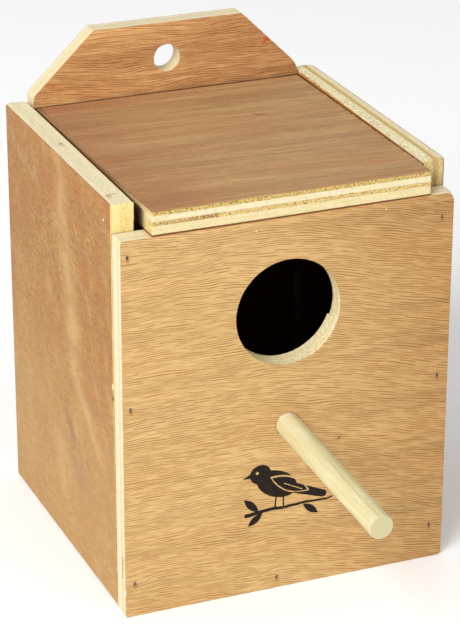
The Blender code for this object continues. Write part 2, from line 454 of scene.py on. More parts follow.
def tint(colour, by):
    """A colour multiplied by another, channel by channel."""
    return tuple(min(1.0, c * k) for c, k in zip(colour, by))


# ---------------------------------------------------------------- plywood


class Veneer:
    """How a face veneer looks. Sizes are (along, across) the grain, in millimetres.

    A share is how strongly a layer shows. vein_size is the length of a cut vessel and the distance
    between rows of them. wave is how far the grain sways, and how long and wide a sway is. slant is
    how steeply the grain leaves the board's own axis, before its middle and after it.
    """

    def __init__(self, light, dark, pore, **changes):
        self.light, self.dark, self.pore = light, dark, pore
        self.pore_size = (5.0, 0.55)
        self.pore_share = 0.75
        self.vein_size = (5.0, 1.0)
        self.vein_share = 0.30
        self.pore_limits = (0.52, 0.64)
        self.line_size = (18.0, 1.3)
        self.line_share = 0.35
        self.fibre_share = 0.35
        self.cloud_size = (60.0, 16.0)
        self.wave = (1.6, 34.0, 22.0)
        self.slant = (0.0, 0.0)
        self.seed = 0.0
        for name, value in changes.items():
            setattr(self, name, value)


def veneer_face(finish, along, across, veneer):
    """The colour of a face veneer, and its relief from 0 in a pore to 1."""
    seed = veneer.seed
    size, run, rise = veneer.wave
    slant, later = veneer.slant
    bend_length = 20.0
    past_bend = ((along * along + bend_length**2) ** 0.5 + along) * 0.5
    across = across + along * slant + past_bend * (later - slant)
    sway = finish.noise(along / run, across / rise, seed, detail=2.0)
    across = across + (sway - 0.5) * (2.0 * size)
    cloud = finish.noise(
        along / veneer.cloud_size[0], across / veneer.cloud_size[1], seed + 3.1, detail=3.0
    )
    lines = finish.noise(
        along / veneer.line_size[0], across / veneer.line_size[1], seed + 7.7, detail=2.0
    )
    pores = finish.noise(
        along / veneer.pore_size[0], across / veneer.pore_size[1], seed + 12.3, detail=0.0
    ).rise(*veneer.pore_limits)
    veins = vein_dashes(finish, along, across, veneer)
    fibre = finish.noise(along / 2.6, across / 0.42, seed + 17.0, detail=1.0, rough=0.6)
    fibre_share = veneer.fibre_share
    coats = (
        (cloud.rise(0.30, 0.70), veneer.dark),
        (lines.rise(0.38, 0.72) * veneer.line_share, veneer.pore),
        (pores * veneer.pore_share, veneer.pore),
        (veins * veneer.vein_share, tint(veneer.pore, (0.86, 0.76, 0.70))),
        (fibre.rise(0.52, 0.80) * fibre_share, shade(veneer.light, 1.22)),
        ((1.0 - fibre).rise(0.54, 0.80) * fibre_share * 0.7, veneer.pore),
    )
    colour = finish.coats(veneer.light, coats)
    relief = 1.0 - pores * 0.7 - lines * 0.2 + fibre * 0.2
    return colour, relief


def vein_dashes(finish, along, across, veneer):
    """1 on the cut vessels: thin dashes in uneven rows, each row broken in its own way."""
    length, pitch = veneer.vein_size
    sway = finish.noise(along / 26.0, across / 5.0, veneer.seed + 29.0, detail=1.0)
    rows = across / pitch + sway * 2.4
    row = math.floor(rows)
    dash = finish.noise(along / length, row * 3.7, veneer.seed + 31.0, detail=1.0)
    thin = 1.0 - abs(rows - row - 0.5).rise(0.05, 0.31)
    return thin * dash.rise(0.36, 0.56)


def ply_stack(finish, board, along, across, through, plies):
    """The colours of the inner plies on a sawn edge, and the relief that the saw left.

    plies are (share of the thickness, colour, lies, open) from the outer face in. A ply whose grain
    lies "along" goes with the face's grain, and one that lies "across" is turned by a quarter. Sawn
    along its grain a ply shows fine pale streaks, and across it granules, the darker the more open.
    """
    along_axis, across_axis, _ = board.grain_axes()
    waver = finish.noise(along / 9.0, across / 9.0, 1.0, detail=2.0) - 0.5
    depth = through + waver * 0.035
    deep = through * (board.thickness / MM)
    grain = 0.56
    grit = finish.noise(
        (along * 0.84 + across * 0.54 + deep * 0.31) / grain,
        (across * 0.80 - along * 0.50 + deep * 0.27) / grain,
        (deep - along * 0.36) / grain,
        detail=1.0,
        rough=0.6,
    )
    mottle = finish.noise(along / 1.2, across / 1.2, deep / 0.8, detail=2.0)
    looks = {}
    for lies, cells, axis in (
        ("along", (9.0, 0.65), along_axis),
        ("across", (0.65, 9.0), across_axis),
    ):
        straws = finish.noise(along / cells[0], across / cells[1], deep / 0.65, detail=2.0)
        looks[lies] = straws, finish.facing(axis).rise(0.45, 0.80)
    colour, relief, reached = None, None, 0.0
    for share, tone, lies, open_grain in plies:
        straws, end = looks[lies]
        streaked = finish.mix(straws.rise(0.42, 0.70) * 0.50, tone, tint(tone, (0.84, 0.78, 0.66)))
        greyer = tint(tone, (0.80, 0.77, 0.72))
        streaked = finish.mix(mottle.rise(0.42, 0.70) * 0.60, streaked, greyer)
        warm = (1.0, 0.98 - 0.05 * open_grain, 0.86 - 0.18 * open_grain)
        browned = straws.rise(0.35, 0.65) * (0.15 + 0.45 * open_grain)
        specks = grit.rise(0.52, 0.63) * (0.08 + 0.80 * open_grain)
        crumbs = (1.0 - grit).rise(0.58, 0.70) * 0.5
        opened = finish.coats(
            tint(tone, warm),
            (
                (browned, tint(tone, (0.72, 0.58, 0.34))),
                (specks, tint(tone, (0.36, 0.22, 0.09))),
                (crumbs, tint(tone, (1.1, 1.05, 0.9))),
            ),
        )
        shaded = finish.mix(end, streaked, opened)
        rough = straws * 0.4 + grit * (0.2 + end * 0.6)
        if colour is None:
            colour, relief = shaded, rough
        else:
            past = depth.rise(reached - 0.012, reached + 0.012)
            colour = finish.mix(past, colour, shaded)
            relief = relief + (rough - relief) * past
            line = 1.0 - abs(depth - reached).rise(0.003, 0.014)
            colour = finish.mix(line * 0.30, colour, tint(tone, (0.55, 0.45, 0.30)))
        reached += share
    return colour, relief


def plywood(
    name, board, veneer, plies, marks=(), stains_and_shade=(), inner=(1.0, 1.0, 1.0), inner_below=None
):
    """A board's material: face veneers, and the inner plies wherever the wood is cut open.

    marks change the face veneers and stains_and_shade the sawn edges too; some of them are painted
    light and shade. inner darkens the inner face as painted shade, only below the height
    inner_below where one is given.
    """
    finish = Finish(name, roughness=0.62, specular=0.14)
    middle = board.origin + board.inward * (board.thickness / 2)
    place = finish.place(middle)
    along, across, inward = (axis_value(place, axis) for axis in board.grain_axes())
    through = inward / (board.thickness / MM) + 0.5
    face, relief = veneer_face(finish, along, across, veneer)
    for mark in marks:
        face = mark(finish, place, face)
    # Painted shade: the inner face is darkened by inner, only below inner_below where one is given.
    inside = through.rise(0.45, 0.55)
    if inner_below is not None:
        inside = inside * (1.0 - place[2].rise(inner_below - 0.5, inner_below + 0.5))
    face = finish.mix(inside, face, finish.mix(1.0, face, inner, blend="MULTIPLY"))
    sawn, rough = ply_stack(finish, board, along, across, through, plies)
    ragged = finish.noise(along / 0.8, across / 0.8, through * 9.0, detail=2.0) - 0.5
    edge = 1.0 - abs(through - 0.5) * 2.0 + ragged * 0.05
    skin = 2 * FACE_VENEER / board.thickness
    cut = edge.rise(skin - 0.02, skin + 0.02)
    colour = finish.mix(cut, face, sawn)
    glue = 1.0 - abs(edge - skin - 0.01).rise(0.0, 0.03)
    colour = finish.mix(glue * ragged.rise(-0.10, 0.15) * 0.45, colour, GLUE_BROWN)
    # Real stain marks and painted shade, laid over the faces and the sawn edges alike.
    for stain in stains_and_shade:
        colour = stain(finish, place, colour)
    height = relief + (rough - relief) * cut
    normal = finish.bump(height, GRAIN_RELIEF, 0.6)
    return finish.out(colour, 0.58 + cut * 0.2, normal)


def axis_value(place, axis):
    """The coordinate along a signed main axis."""
    index = max(range(3), key=lambda i: abs(axis[i]))
    return place[index] if axis[index] > 0 else place[index] * -1.0


# ---------------------------------------------------------------- board meshes


def rounded_loop(corners, step):
    """Points (a, b, into_a, into_b) every step along an outline through (a, b, rounding) corners.

    into is the direction from the edge into the wood, for an outline that runs anticlockwise.
    """
    stations = []
    count = len(corners)
    for index, (a, b, radius) in enumerate(corners):
        corner = Vector((a, b))
        before = (Vector(corners[index - 1][:2]) - corner).normalized()
        after = (Vector(corners[(index + 1) % count][:2]) - corner).normalized()
        half_angle = before.angle(after) / 2
        reach = radius / math.tan(half_angle)
        centre = corner + (before + after).normalized() * radius / math.sin(half_angle)
        arm = corner + before * reach - centre
        sweep = math.pi - 2 * half_angle
        steps = max(3, math.ceil(radius * sweep / step))
        for turn in range(steps + 1):
            spoke = Matrix.Rotation(sweep * turn / steps, 2) @ arm
            stations.append((centre + spoke, -spoke.normalized()))
    loop = []
    for index, (point, into) in enumerate(stations):
        following, into_following = stations[(index + 1) % len(stations)]
        loop.append((*point, *into))
        gap = (following - point).length
        if gap > 1.5 * step:
            pieces = round(gap / step)
            for piece in range(1, pieces):
                between = point.lerp(following, piece / pieces)
                loop.append((*between, *into_following))
    return loop


def round_loop(centre, radius, step):
    """The same for a round hole, where into points away from the hole's middle."""
    count = max(16, math.ceil(2 * math.pi * radius / step))
    loop = []
    for index in range(count):
        turn = 2 * math.pi * index / count
        spoke = Vector((math.cos(turn), math.sin(turn)))
        loop.append((*(Vector(centre) + spoke * radius), *spoke))
    return loop


def ragged_slot(centre, size, step):
    """A nail's narrow pocket, with torn sides."""
    half = Vector(size) / 2
    corners = [
        (centre[0] - half.x, centre[1] - half.y, half.x * 0.8),
        (centre[0] + half.x, centre[1] - half.y, half.x * 0.8),
        (centre[0] + half.x, centre[1] + half.y, half.x * 0.8),
        (centre[0] - half.x, centre[1] + half.y, half.x * 0.8),
    ]
    loop = []
    for a, b, into_a, into_b in rounded_loop(corners, step):
        tear = 0.16 * MM * noise.noise(Vector((a, b, 0.0)) / (0.5 * MM))
        loop.append((a + into_a * -tear, b + into_b * -tear, -into_a, -into_b))
    return loop


def unworn(*place):
    """The wear of a plain hole."""
    return 0.0


def closed_mesh(name, points, faces, sharp):
    """A mesh with its faces turned outwards, and smooth but for edges of this many degrees."""
    mesh = bpy.data.meshes.new(name)
    mesh.from_pydata(points, [], faces)
    shape = bmesh.new()
    shape.from_mesh(mesh)
    bmesh.ops.recalc_face_normals(shape, faces=shape.faces)
    shape.to_mesh(mesh)
    shape.free()
    mesh.shade_smooth()
    mesh.set_sharp_from_angle(angle=math.radians(sharp))
    return mesh


class Board:
    """A flat board. A point on it is a across, b up and a depth in from its outer face."""

    def __init__(self, origin, across, up, inward, thickness, grain):
        self.origin, self.across, self.up, self.inward = origin, across, up, inward
        self.thickness = thickness
        self.grain = grain
        self.rounded_end = None
        self.points, self.faces = [], []
        self.outer_rims, self.inner_rims = [], []

    def grain_axes(self):
        """The grain's axis, the one across it, and the one in through the board."""
        other = self.up if self.grain == self.across else self.across
        return self.grain, other, self.inward

    def at(self, a, b, depth):
        return self.origin + self.across * a + self.up * b + self.inward * depth

    def ring(self, loop, depth, wear, lean=(0.0, 0.0)):
        """Adds one ring of points and returns their indices."""
        first = len(self.points)
        for a, b, into_a, into_b in loop:
            inset = max(0.0, wear(a, b, into_a, into_b, depth))
            shifted_a = a + into_a * inset + lean[0] * depth
            shifted_b = b + into_b * inset + lean[1] * depth
            shifted_a -= self.rounded_off(shifted_a, depth)
            self.points.append(self.at(shifted_a, shifted_b, depth))
        return list(range(first, len(self.points)))

    def rounded_off(self, a, depth):
        """How far back a point is drawn by the rounding of the end, an (a, radius) pair."""
        if self.rounded_end is None:
            return 0.0
        end, radius = self.rounded_end
        short = radius - min(depth, self.thickness - depth, radius)
        drop = radius - math.sqrt(radius**2 - short**2)
        return drop * min(1.0, max(0.0, (a - end) / (2 * radius) + 1.0))

    def wall(self, rings):
        """Joins each ring of points to the next."""
        for upper, lower in zip(rings, rings[1:]):
            for index, corner in enumerate(upper):
                after = (index + 1) % len(upper)
                self.faces.append((corner, lower[index], lower[after], upper[after]))

    def through(self, loop, depths, wear, lean=(0.0, 0.0)):
        """An edge or a hole that runs from the outer face to the inner one."""
        rings = [self.ring(loop, depth, wear, lean) for depth in depths]
        self.wall(rings)
        self.outer_rims.append(rings[0])
        self.inner_rims.append(rings[-1])

    def pocket(self, loop, depth, outer=True):
        """A blind hole in the outer or the inner face."""
        start, sign = (0.0, 1.0) if outer else (self.thickness, -1.0)
        depths = [start + sign * depth * share for share in (0.0, 0.15, 0.5, 1.0)]
        rings = [self.ring(loop, each, unworn) for each in depths]
        self.wall(rings)
        (self.outer_rims if outer else self.inner_rims).append(rings[0])
        self.fill([rings[-1]])

    def fill(self, rims):
        """Closes the flat face between an outline and its holes."""
        flat = [index for rim in rims for index in rim]
        outlines = [[self.points[index] for index in rim] for rim in rims]
        for triangle in tessellate_polygon(outlines):
            self.faces.append(tuple(flat[corner] for corner in triangle))

    def make(self, name):
        """Closes both faces and returns the finished object."""
        self.fill(self.outer_rims)
        self.fill(self.inner_rims)
        return add_piece(name, closed_mesh(name, self.points, self.faces, sharp=32))


def add_piece(name, mesh):
    """A new object in the scene that holds this mesh."""
    piece = bpy.data.objects.new(name, mesh)
    bpy.context.scene.collection.objects.link(piece)
    return piece


def ring_depths(thickness):
    """Depths of the rings of points round an edge: close together near the faces."""
    near = [0.0, 0.10 * MM, 0.25 * MM, 0.45 * MM, 0.75 * MM]
    inside = thickness - 2 * near[-1]
    count = round(inside / (0.75 * MM))
    middle = [near[-1] + inside * step / count for step in range(1, count)]
    far = [thickness - depth for depth in reversed(near)]
    return near + middle + far


def sawn_edge(settings, thickness, seed, chips=(), torn=None, inner_ease=1.0):
    """How far an edge is worn back at each point of a board, as a function for Board.ring.

    chips are (a, b, reach, depth, face) with face 0 for the outer and 1 for the inner one.
    torn(a, b) says how many times deeper than usual the outer veneer's edge is chipped there.
    inner_ease is how much of the usual easing the inner arris keeps.
    """
    drift = Vector((seed * 3.7, seed * 1.3, seed * 9.1))
    chip_reach = 0.8 * MM

    def wear(a, b, into_a, into_b, depth):
        where = Vector((a, b, depth)) / MM
        near = min(depth, thickness - depth)
        eased = settings.eased * (0.7 + 0.6 * noise.noise(where / 6.0 + drift))
        eased *= 1.0 if depth < thickness / 2 else inner_ease
        worn = eased - math.sqrt(max(0.0, eased**2 - max(0.0, eased - near) ** 2))
        rough = settings.saw_marks * (0.5 + 0.5 * noise.noise(where / 0.9 + drift))
        rough += settings.saw_marks * abs(noise.noise(where / 3.1 + drift))
        if near < chip_reach:
            times = torn(a, b) if torn and depth < thickness / 2 else 1.0
            broken = noise.noise(where / 2.3 + drift) + 0.5 * noise.noise(where / 0.9 - drift)
            worn += settings.chips * times * max(0.0, broken - 0.30) * (1 - near / chip_reach)
        for chip_a, chip_b, reach, deep, face in chips:
            away = math.hypot(a - chip_a, b - chip_b) / reach
            level = (depth if face == 0 else thickness - depth) / reach
            if away < 1.0 and level < 1.0:
                bite = (1 - away**2) * (1 - level**2)
                worn += deep * bite * (0.8 + 0.4 * noise.noise(where / 0.6))
        return worn + rough

    return wear


def finish_piece(piece, nodes, body, material):
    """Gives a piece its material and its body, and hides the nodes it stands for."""
    piece.data.materials.append(material)
    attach(piece, body)
    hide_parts(*nodes)
    return piece


# ---------------------------------------------------------------- the boards' places


def front_board():
    low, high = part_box("front_panel")
    origin = Vector((0.0, low.y, 0.0))
    return Board(origin, X_AXIS, Z_AXIS, Y_AXIS, high.y - low.y, X_AXIS)


def side_board(name):
    low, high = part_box(name)
    left = name.startswith("left")
    origin = Vector((low.x if left else high.x, 0.0, 0.0))
    inward = X_AXIS if left else -X_AXIS
    return Board(origin, Y_AXIS, Z_AXIS, inward, high.x - low.x, Y_AXIS)


def back_board():
    low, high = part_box("back_panel")
    origin = Vector((0.0, high.y, 0.0))
    return Board(origin, X_AXIS, Z_AXIS, -Y_AXIS, high.y - low.y, X_AXIS)


def lid_board():
    low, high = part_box("lid")
    origin = Vector((0.0, 0.0, high.z))
    return Board(origin, X_AXIS, Y_AXIS, -Z_AXIS, high.z - low.z, X_AXIS)


def floor_board():
    low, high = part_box("floor_panel")
    origin = Vector((0.0, 0.0, high.z))
    return Board(origin, X_AXIS, Y_AXIS, -Z_AXIS, high.z - low.z, X_AXIS)


def opening(name):
    """The middle of one of the record's openings."""
    found = next(o for o in frame["record"]["physics"]["openings"] if o["name"] == name)
    low, high = found["box_m"]
    return (Vector(low) + Vector(high)) / 2


# ---------------------------------------------------------------- pieces


# The inner faces are this much darker than the outer ones.
SHADED_INSIDE = (0.26, 0.22, 0.18)
ENTRY_RADIUS = 20.0 * MM
HANG_HOLE_RADIUS = 5.3 * MM

# Heights and depths that marks keep to, in millimetres.
SIDE_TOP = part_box("left_side")[1].z / MM
SIDE_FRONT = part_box("left_side")[0].y / MM
FRONT_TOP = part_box("front_panel")[1].z / MM
INSIDE_TOP = 150.0


def perch_ends():
    """The middles of the dowel's root and tip, and its radius."""
    points = [vertex.co for vertex in frame["nodes"]["perch_dowel"].data.vertices]
    split = sum(point.y for point in points) / len(points)
    ends = []
    for end in ([p for p in points if p.y > split], [p for p in points if p.y < split]):
        ends.append(sum(end, Vector()) / len(end))
    radius = max((point - ends[1]).length for point in points if point.y < split)
    return ends[0], ends[1], radius


def front_nail_names():
    return sorted(name for name in frame["nodes"] if name.startswith("front_nail"))


def side_front_end(y):
    """1 on a side panel's front end."""
    return 1.0 - y.rise(SIDE_FRONT + 0.4, SIDE_FRONT + 0.7)


class NESTBOX_OT_front_panel(bpy.types.Operator):
    """Builds the front panel with its sawn entry hole, nail pockets and perch bore"""

    bl_idname = "nestbox.front_panel"
    bl_label = "Front panel"

    def execute(self, context):
        settings = context.scene.nest_box_boards
        colours = context.scene.nest_box_colours
        board = front_board()
        low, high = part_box("front_panel")
        corners = [
            (low.x, low.z, 0.7 * MM),
            (high.x, low.z, 1.6 * MM),
            (high.x, high.z, 1.2 * MM),
            (low.x, high.z, 0.6 * MM),
        ]
        chips = [
            (high.x, high.z, 2.6 * MM, 0.9 * MM, 0),
            (low.x, low.z + 10 * MM, 1.6 * MM, 0.5 * MM, 0),
            (high.x - 22 * MM, low.z, 2.2 * MM, 0.35 * MM, 0),
            (low.x + 30 * MM, low.z, 1.8 * MM, 0.3 * MM, 0),
        ]
        worn = sawn_edge(settings, board.thickness, 1.0, chips)

        def wear(a, b, into_a, into_b, depth):
            """The top edge is hardly worn where the lid covers it."""
            covered = b > high.z - 1 * MM and low.x + 12 * MM < a < high.x - 10 * MM
            return (0.3 if covered else 1.0) * worn(a, b, into_a, into_b, depth)

        depths = ring_depths(board.thickness)
        board.through(rounded_loop(corners, settings.step), depths, wear)
        entry = opening("entry_hole")
        hole = round_loop((entry.x, entry.z), ENTRY_RADIUS, 0.5 * settings.step)
        board.through(hole, depths, self.entry_wear(board, entry))
        root, tip, radius = perch_ends()
        direction = (tip - root).normalized()
        lean = (direction.x / direction.y, direction.z / direction.y)
        start = root + direction * (root.y - low.y) / -direction.y
        bore = round_loop((start.x, start.z), radius + 0.1 * MM, 0.6 * settings.step)
        board.through(bore, depths, self.bore_wear, lean)
        # A pocket is a little narrower than its nail, so that the wood closes on the steel.
        for name in front_nail_names():
            nail_low, nail_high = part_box(name)
            middle = (nail_low + nail_high) / 2
            size = (nail_high.x - nail_low.x - 0.1 * MM, nail_high.z - nail_low.z - 0.3 * MM)
            slot = ragged_slot((middle.x, middle.z), size, 0.2 * MM)
            depth = nail_low.y - low.y + 0.4 * MM
            board.pocket(slot, depth)
        material = plywood(
            "front_plywood",
            board,
            self.veneer(colours),
            self.plies(colours),
            self.marks(tuple(colours.ink)),
            (self.crack, self.shade_under_lid, self.entry_wall),
            inner=SHADED_INSIDE,
        )
        finish_piece(board.make("front_board"), ["front_panel"], "box", material)
        return {"FINISHED"}

    def entry_wear(self, board, entry):
        """A coarsely sawn hole: furred all round, with a step at the back where the cut met."""

        def wear(a, b, into_a, into_b, depth):
            where = Vector((a, b, depth)) / MM
            drawn_out = Vector((where.x, where.y, where.z / 6))
            angle = math.atan2(b - entry.z, a - entry.x)
            near = min(depth, board.thickness - depth)
            furred = 0.10 * (0.5 + 0.5 * noise.noise(where / 0.7))
            furred += 0.10 * (0.5 + 0.5 * noise.noise(drawn_out / 1.4))
            rim = max(0.0, 1 - depth / (0.7 * MM))
            lower_right = max(0.0, math.cos(angle + math.radians(42)))
            torn = max(0.0, noise.noise(where / 1.1) + 0.25) * 0.55 * lower_right**4 * rim
            back = max(0.0, 1 - (board.thickness - depth) / (2.6 * MM))
            above_step = 1.0 if -0.36 < angle < 1.1 else 0.0
            missing = 0.8 * above_step * (1 - max(0.0, angle) / 1.1) * min(1.0, 2 * back)
            eased = max(0.0, 0.15 - near / MM)
            return (furred + torn + missing + eased) * MM

        return wear

    def bore_wear(self, a, b, into_a, into_b, depth):
        """The perch's bore is chipped a little round its outer rim."""
        where = Vector((a, b, depth)) / MM
        rim = max(0.0, 1 - depth / (0.5 * MM))
        return rim * max(0.0, noise.noise(where / 1.3)) * 0.35 * MM

    def veneer(self, colours):
        light = tuple(colours.front)
        return Veneer(
            light,
            tint(light, (0.95, 0.91, 0.87)),
            tint(light, (0.60, 0.45, 0.34)),
            pore_size=(7.0, 0.30),
            pore_limits=(0.53, 0.66),
            pore_share=0.20,
            vein_size=(8.0, 0.80),
            vein_share=0.88,
            line_size=(14.0, 0.62),
            line_share=0.12,
            fibre_share=0.16,
            wave=(2.0, 30.0, 17.0),
            slant=(0.0, 0.24),
            seed=2.0,
        )

    def plies(self, colours):
        cream = tuple(colours.cream)
        return (
            (0.24, tint(cream, (0.98, 0.99, 1.10)), "across", 0.10),
            (0.24, tint(cream, (0.90, 0.90, 0.96)), "along", 0.10),
            (0.22, tint(cream, (1.00, 1.01, 1.12)), "across", 0.10),
            (0.30, tint(cream, (0.94, 0.95, 1.04)), "along", 0.10),
        )

    def crack(self, finish, place, colour):
        """A short dark split on the left edge, near the bottom."""
        x, y, z = place
        wander = (finish.noise(z / 2.5, 0.0, 3.0, detail=2.0) - 0.5) * 1.4
        split = finish.stroke(y + wander, z, (-1.6, 15.0), (-2.0, 23.5), (0.30, 0.45))
        return finish.mix(split * (1.0 - x.rise(-62.6, -62.0)) * 0.9, colour, (0.10, 0.07, 0.05))

    def shade_under_lid(self, finish, place, colour):
        """The top edge is painted brown as shade where the lid rests over it and shadows it."""
        x, y, z = place
        covered = x.rise(-52.4, -51.6) * (1.0 - x.rise(54.2, 54.8))
        covered = covered * z.rise(FRONT_TOP - 0.30, FRONT_TOP - 0.15)
        return finish.mix(covered * y.rise(-4.6, -4.2) * 0.9, colour, (0.62, 0.30, 0.11))

    def entry_wall(self, finish, place, colour):
        """The entry's wall: coarse and yellowish, lightly ringed by the saw."""
        x, y, z = place
        entry = opening("entry_hole") / MM
        reach = ((x - entry.x) ** 2.0 + (z - entry.z) ** 2.0) ** 0.5
        radius = ENTRY_RADIUS / MM
        wall = (1.0 - reach.rise(radius + 0.7, radius + 1.0)) * y.rise(-4.1, -3.9)
        rings = finish.noise(y / 0.45, reach / 3.0, (x + z) / 30.0, detail=1.0)
        crumbs = finish.noise((x + z * 0.4) / 0.75, y / 0.75, (z - x * 0.4) / 0.75, detail=1.0)
        coats = (
            (wall * 0.65, (0.84, 0.70, 0.38)),
            (rings.rise(0.48, 0.62) * wall * 0.40, (0.56, 0.44, 0.20)),
            (crumbs.rise(0.54, 0.66) * wall * 0.55, (0.95, 0.92, 0.66)),
            ((1.0 - crumbs).rise(0.56, 0.68) * wall * 0.40, (0.50, 0.38, 0.16)),
        )
        return finish.coats(colour, coats)

    def marks(self, ink):
        """Painted shade on the right half, pale specks, a pin knot, a stamped bird, and rust at the
        nails.
        """

        def shade_and_flecks(finish, place, face):
            x, _, z = place
            # Painted shade: the face is painted darker towards the right, where less light falls.
            deeper = (x + (z - 70.0) * 0.12).rise(-12.0, 78.0)
            shade_tone = finish.mix(1.0, face, (0.765, 0.66, 0.58), "MULTIPLY")
            face = finish.mix(deeper * 0.85, face, shade_tone)
            for centre in ((36.6, 143.6), (-13.2, 142.8)):
                pale = finish.spot(x, z, centre, (0.45, 0.32))
                face = finish.mix(pale * 0.6, face, (0.85, 0.78, 0.62))
            halo = finish.spot(x, z, (20.1, 57.4), (1.6, 1.3), soft=0.8)
            pin = finish.spot(x, z, (20.1, 57.2), (0.45, 0.35))
            knot = ((halo * 0.35, (0.30, 0.13, 0.05)), (pin * 0.85, (0.14, 0.06, 0.03)))
            return finish.coats(face, knot)

        def stamp(finish, place, face):
            x, _, z = place
            worn = finish.noise(x / 3.0, z / 0.35, 6.0, detail=2.0).rise(0.62, 0.80)
            edge = (finish.noise(x / 0.5, z / 0.35, 8.0, detail=2.0) - 0.5) * 0.30
            inked = self.bird(finish, x + edge, z + edge)
            return finish.mix(inked * (1.0 - worn * 0.22), face, ink)

        def rust(finish, place, face):
            x, _, z = place
            for name in front_nail_names():
                low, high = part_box(name)
                centre = ((low.x + high.x) / 2 / MM + 0.2, (low.z + high.z) / 2 / MM - 0.7)
                stain = finish.spot(x, z, centre, (0.8, 1.4), soft=0.7)
                face = finish.mix(stain * 0.55, face, (0.34, 0.13, 0.04))
            return face

        return (shade_and_flecks, stamp, rust)

    def bird(self, finish, x, z):
        """1 where the stamp's plain songbird, twig and leaves are printed."""
        body = finish.spot(x, z, (-4.4, 43.0), (8.4, 5.2), turn=-0.42, soft=0.04)
        head = finish.spot(x, z, (-10.9, 47.9), (4.2, 3.9), soft=0.05)
        tail = finish.stroke(x, z, (1.0, 40.6), (14.0, 35.6), (2.2, 1.5))
        beak = finish.stroke(x, z, (-13.6, 48.2), (-18.0, 47.2), (1.3, 0.05))
        solid = body.at_least(head).at_least(tail).at_least(beak)
        wing = finish.blade(x, z, (-7.2, 46.2), (8.6, 38.0), 3.1)
        inside = finish.blade(x, z, (-6.4, 45.6), (7.8, 38.3), 2.5)
        feather = finish.stroke(x, z, (-1.5, 42.6), (5.6, 39.0), (0.22, 0.22))
        eye = finish.spot(x, z, (-12.2, 48.7), (0.62, 0.62), soft=0.2)
        solid = solid * (1.0 - wing + inside) * (1.0 - eye) * (1.0 - feather)
        bend = (finish.noise(x / 11.0, 0.0, 4.0, detail=1.0) - 0.5) * 3.0
        twig = finish.stroke(x, z + bend, (-16.5, 32.6), (17.5, 33.4), (0.85, 0.40))
        drawn = solid.at_least(twig)
        for start, end in (
            ((-4.6, 38.6), (-5.2, 33.0)),
            ((-1.8, 38.2), (-1.8, 33.0)),
        ):
            drawn = drawn.at_least(finish.stroke(x, z, start, end, (0.35, 0.35)))
        for start, end, half_width in (
            ((-11.6, 32.8), (-17.4, 38.8), 1.5),
            ((-10.0, 32.2), (-15.8, 27.6), 1.4),
            ((6.0, 32.8), (12.2, 28.0), 1.4),
        ):
            drawn = drawn.at_least(finish.blade(x, z, start, end, half_width))
        return drawn


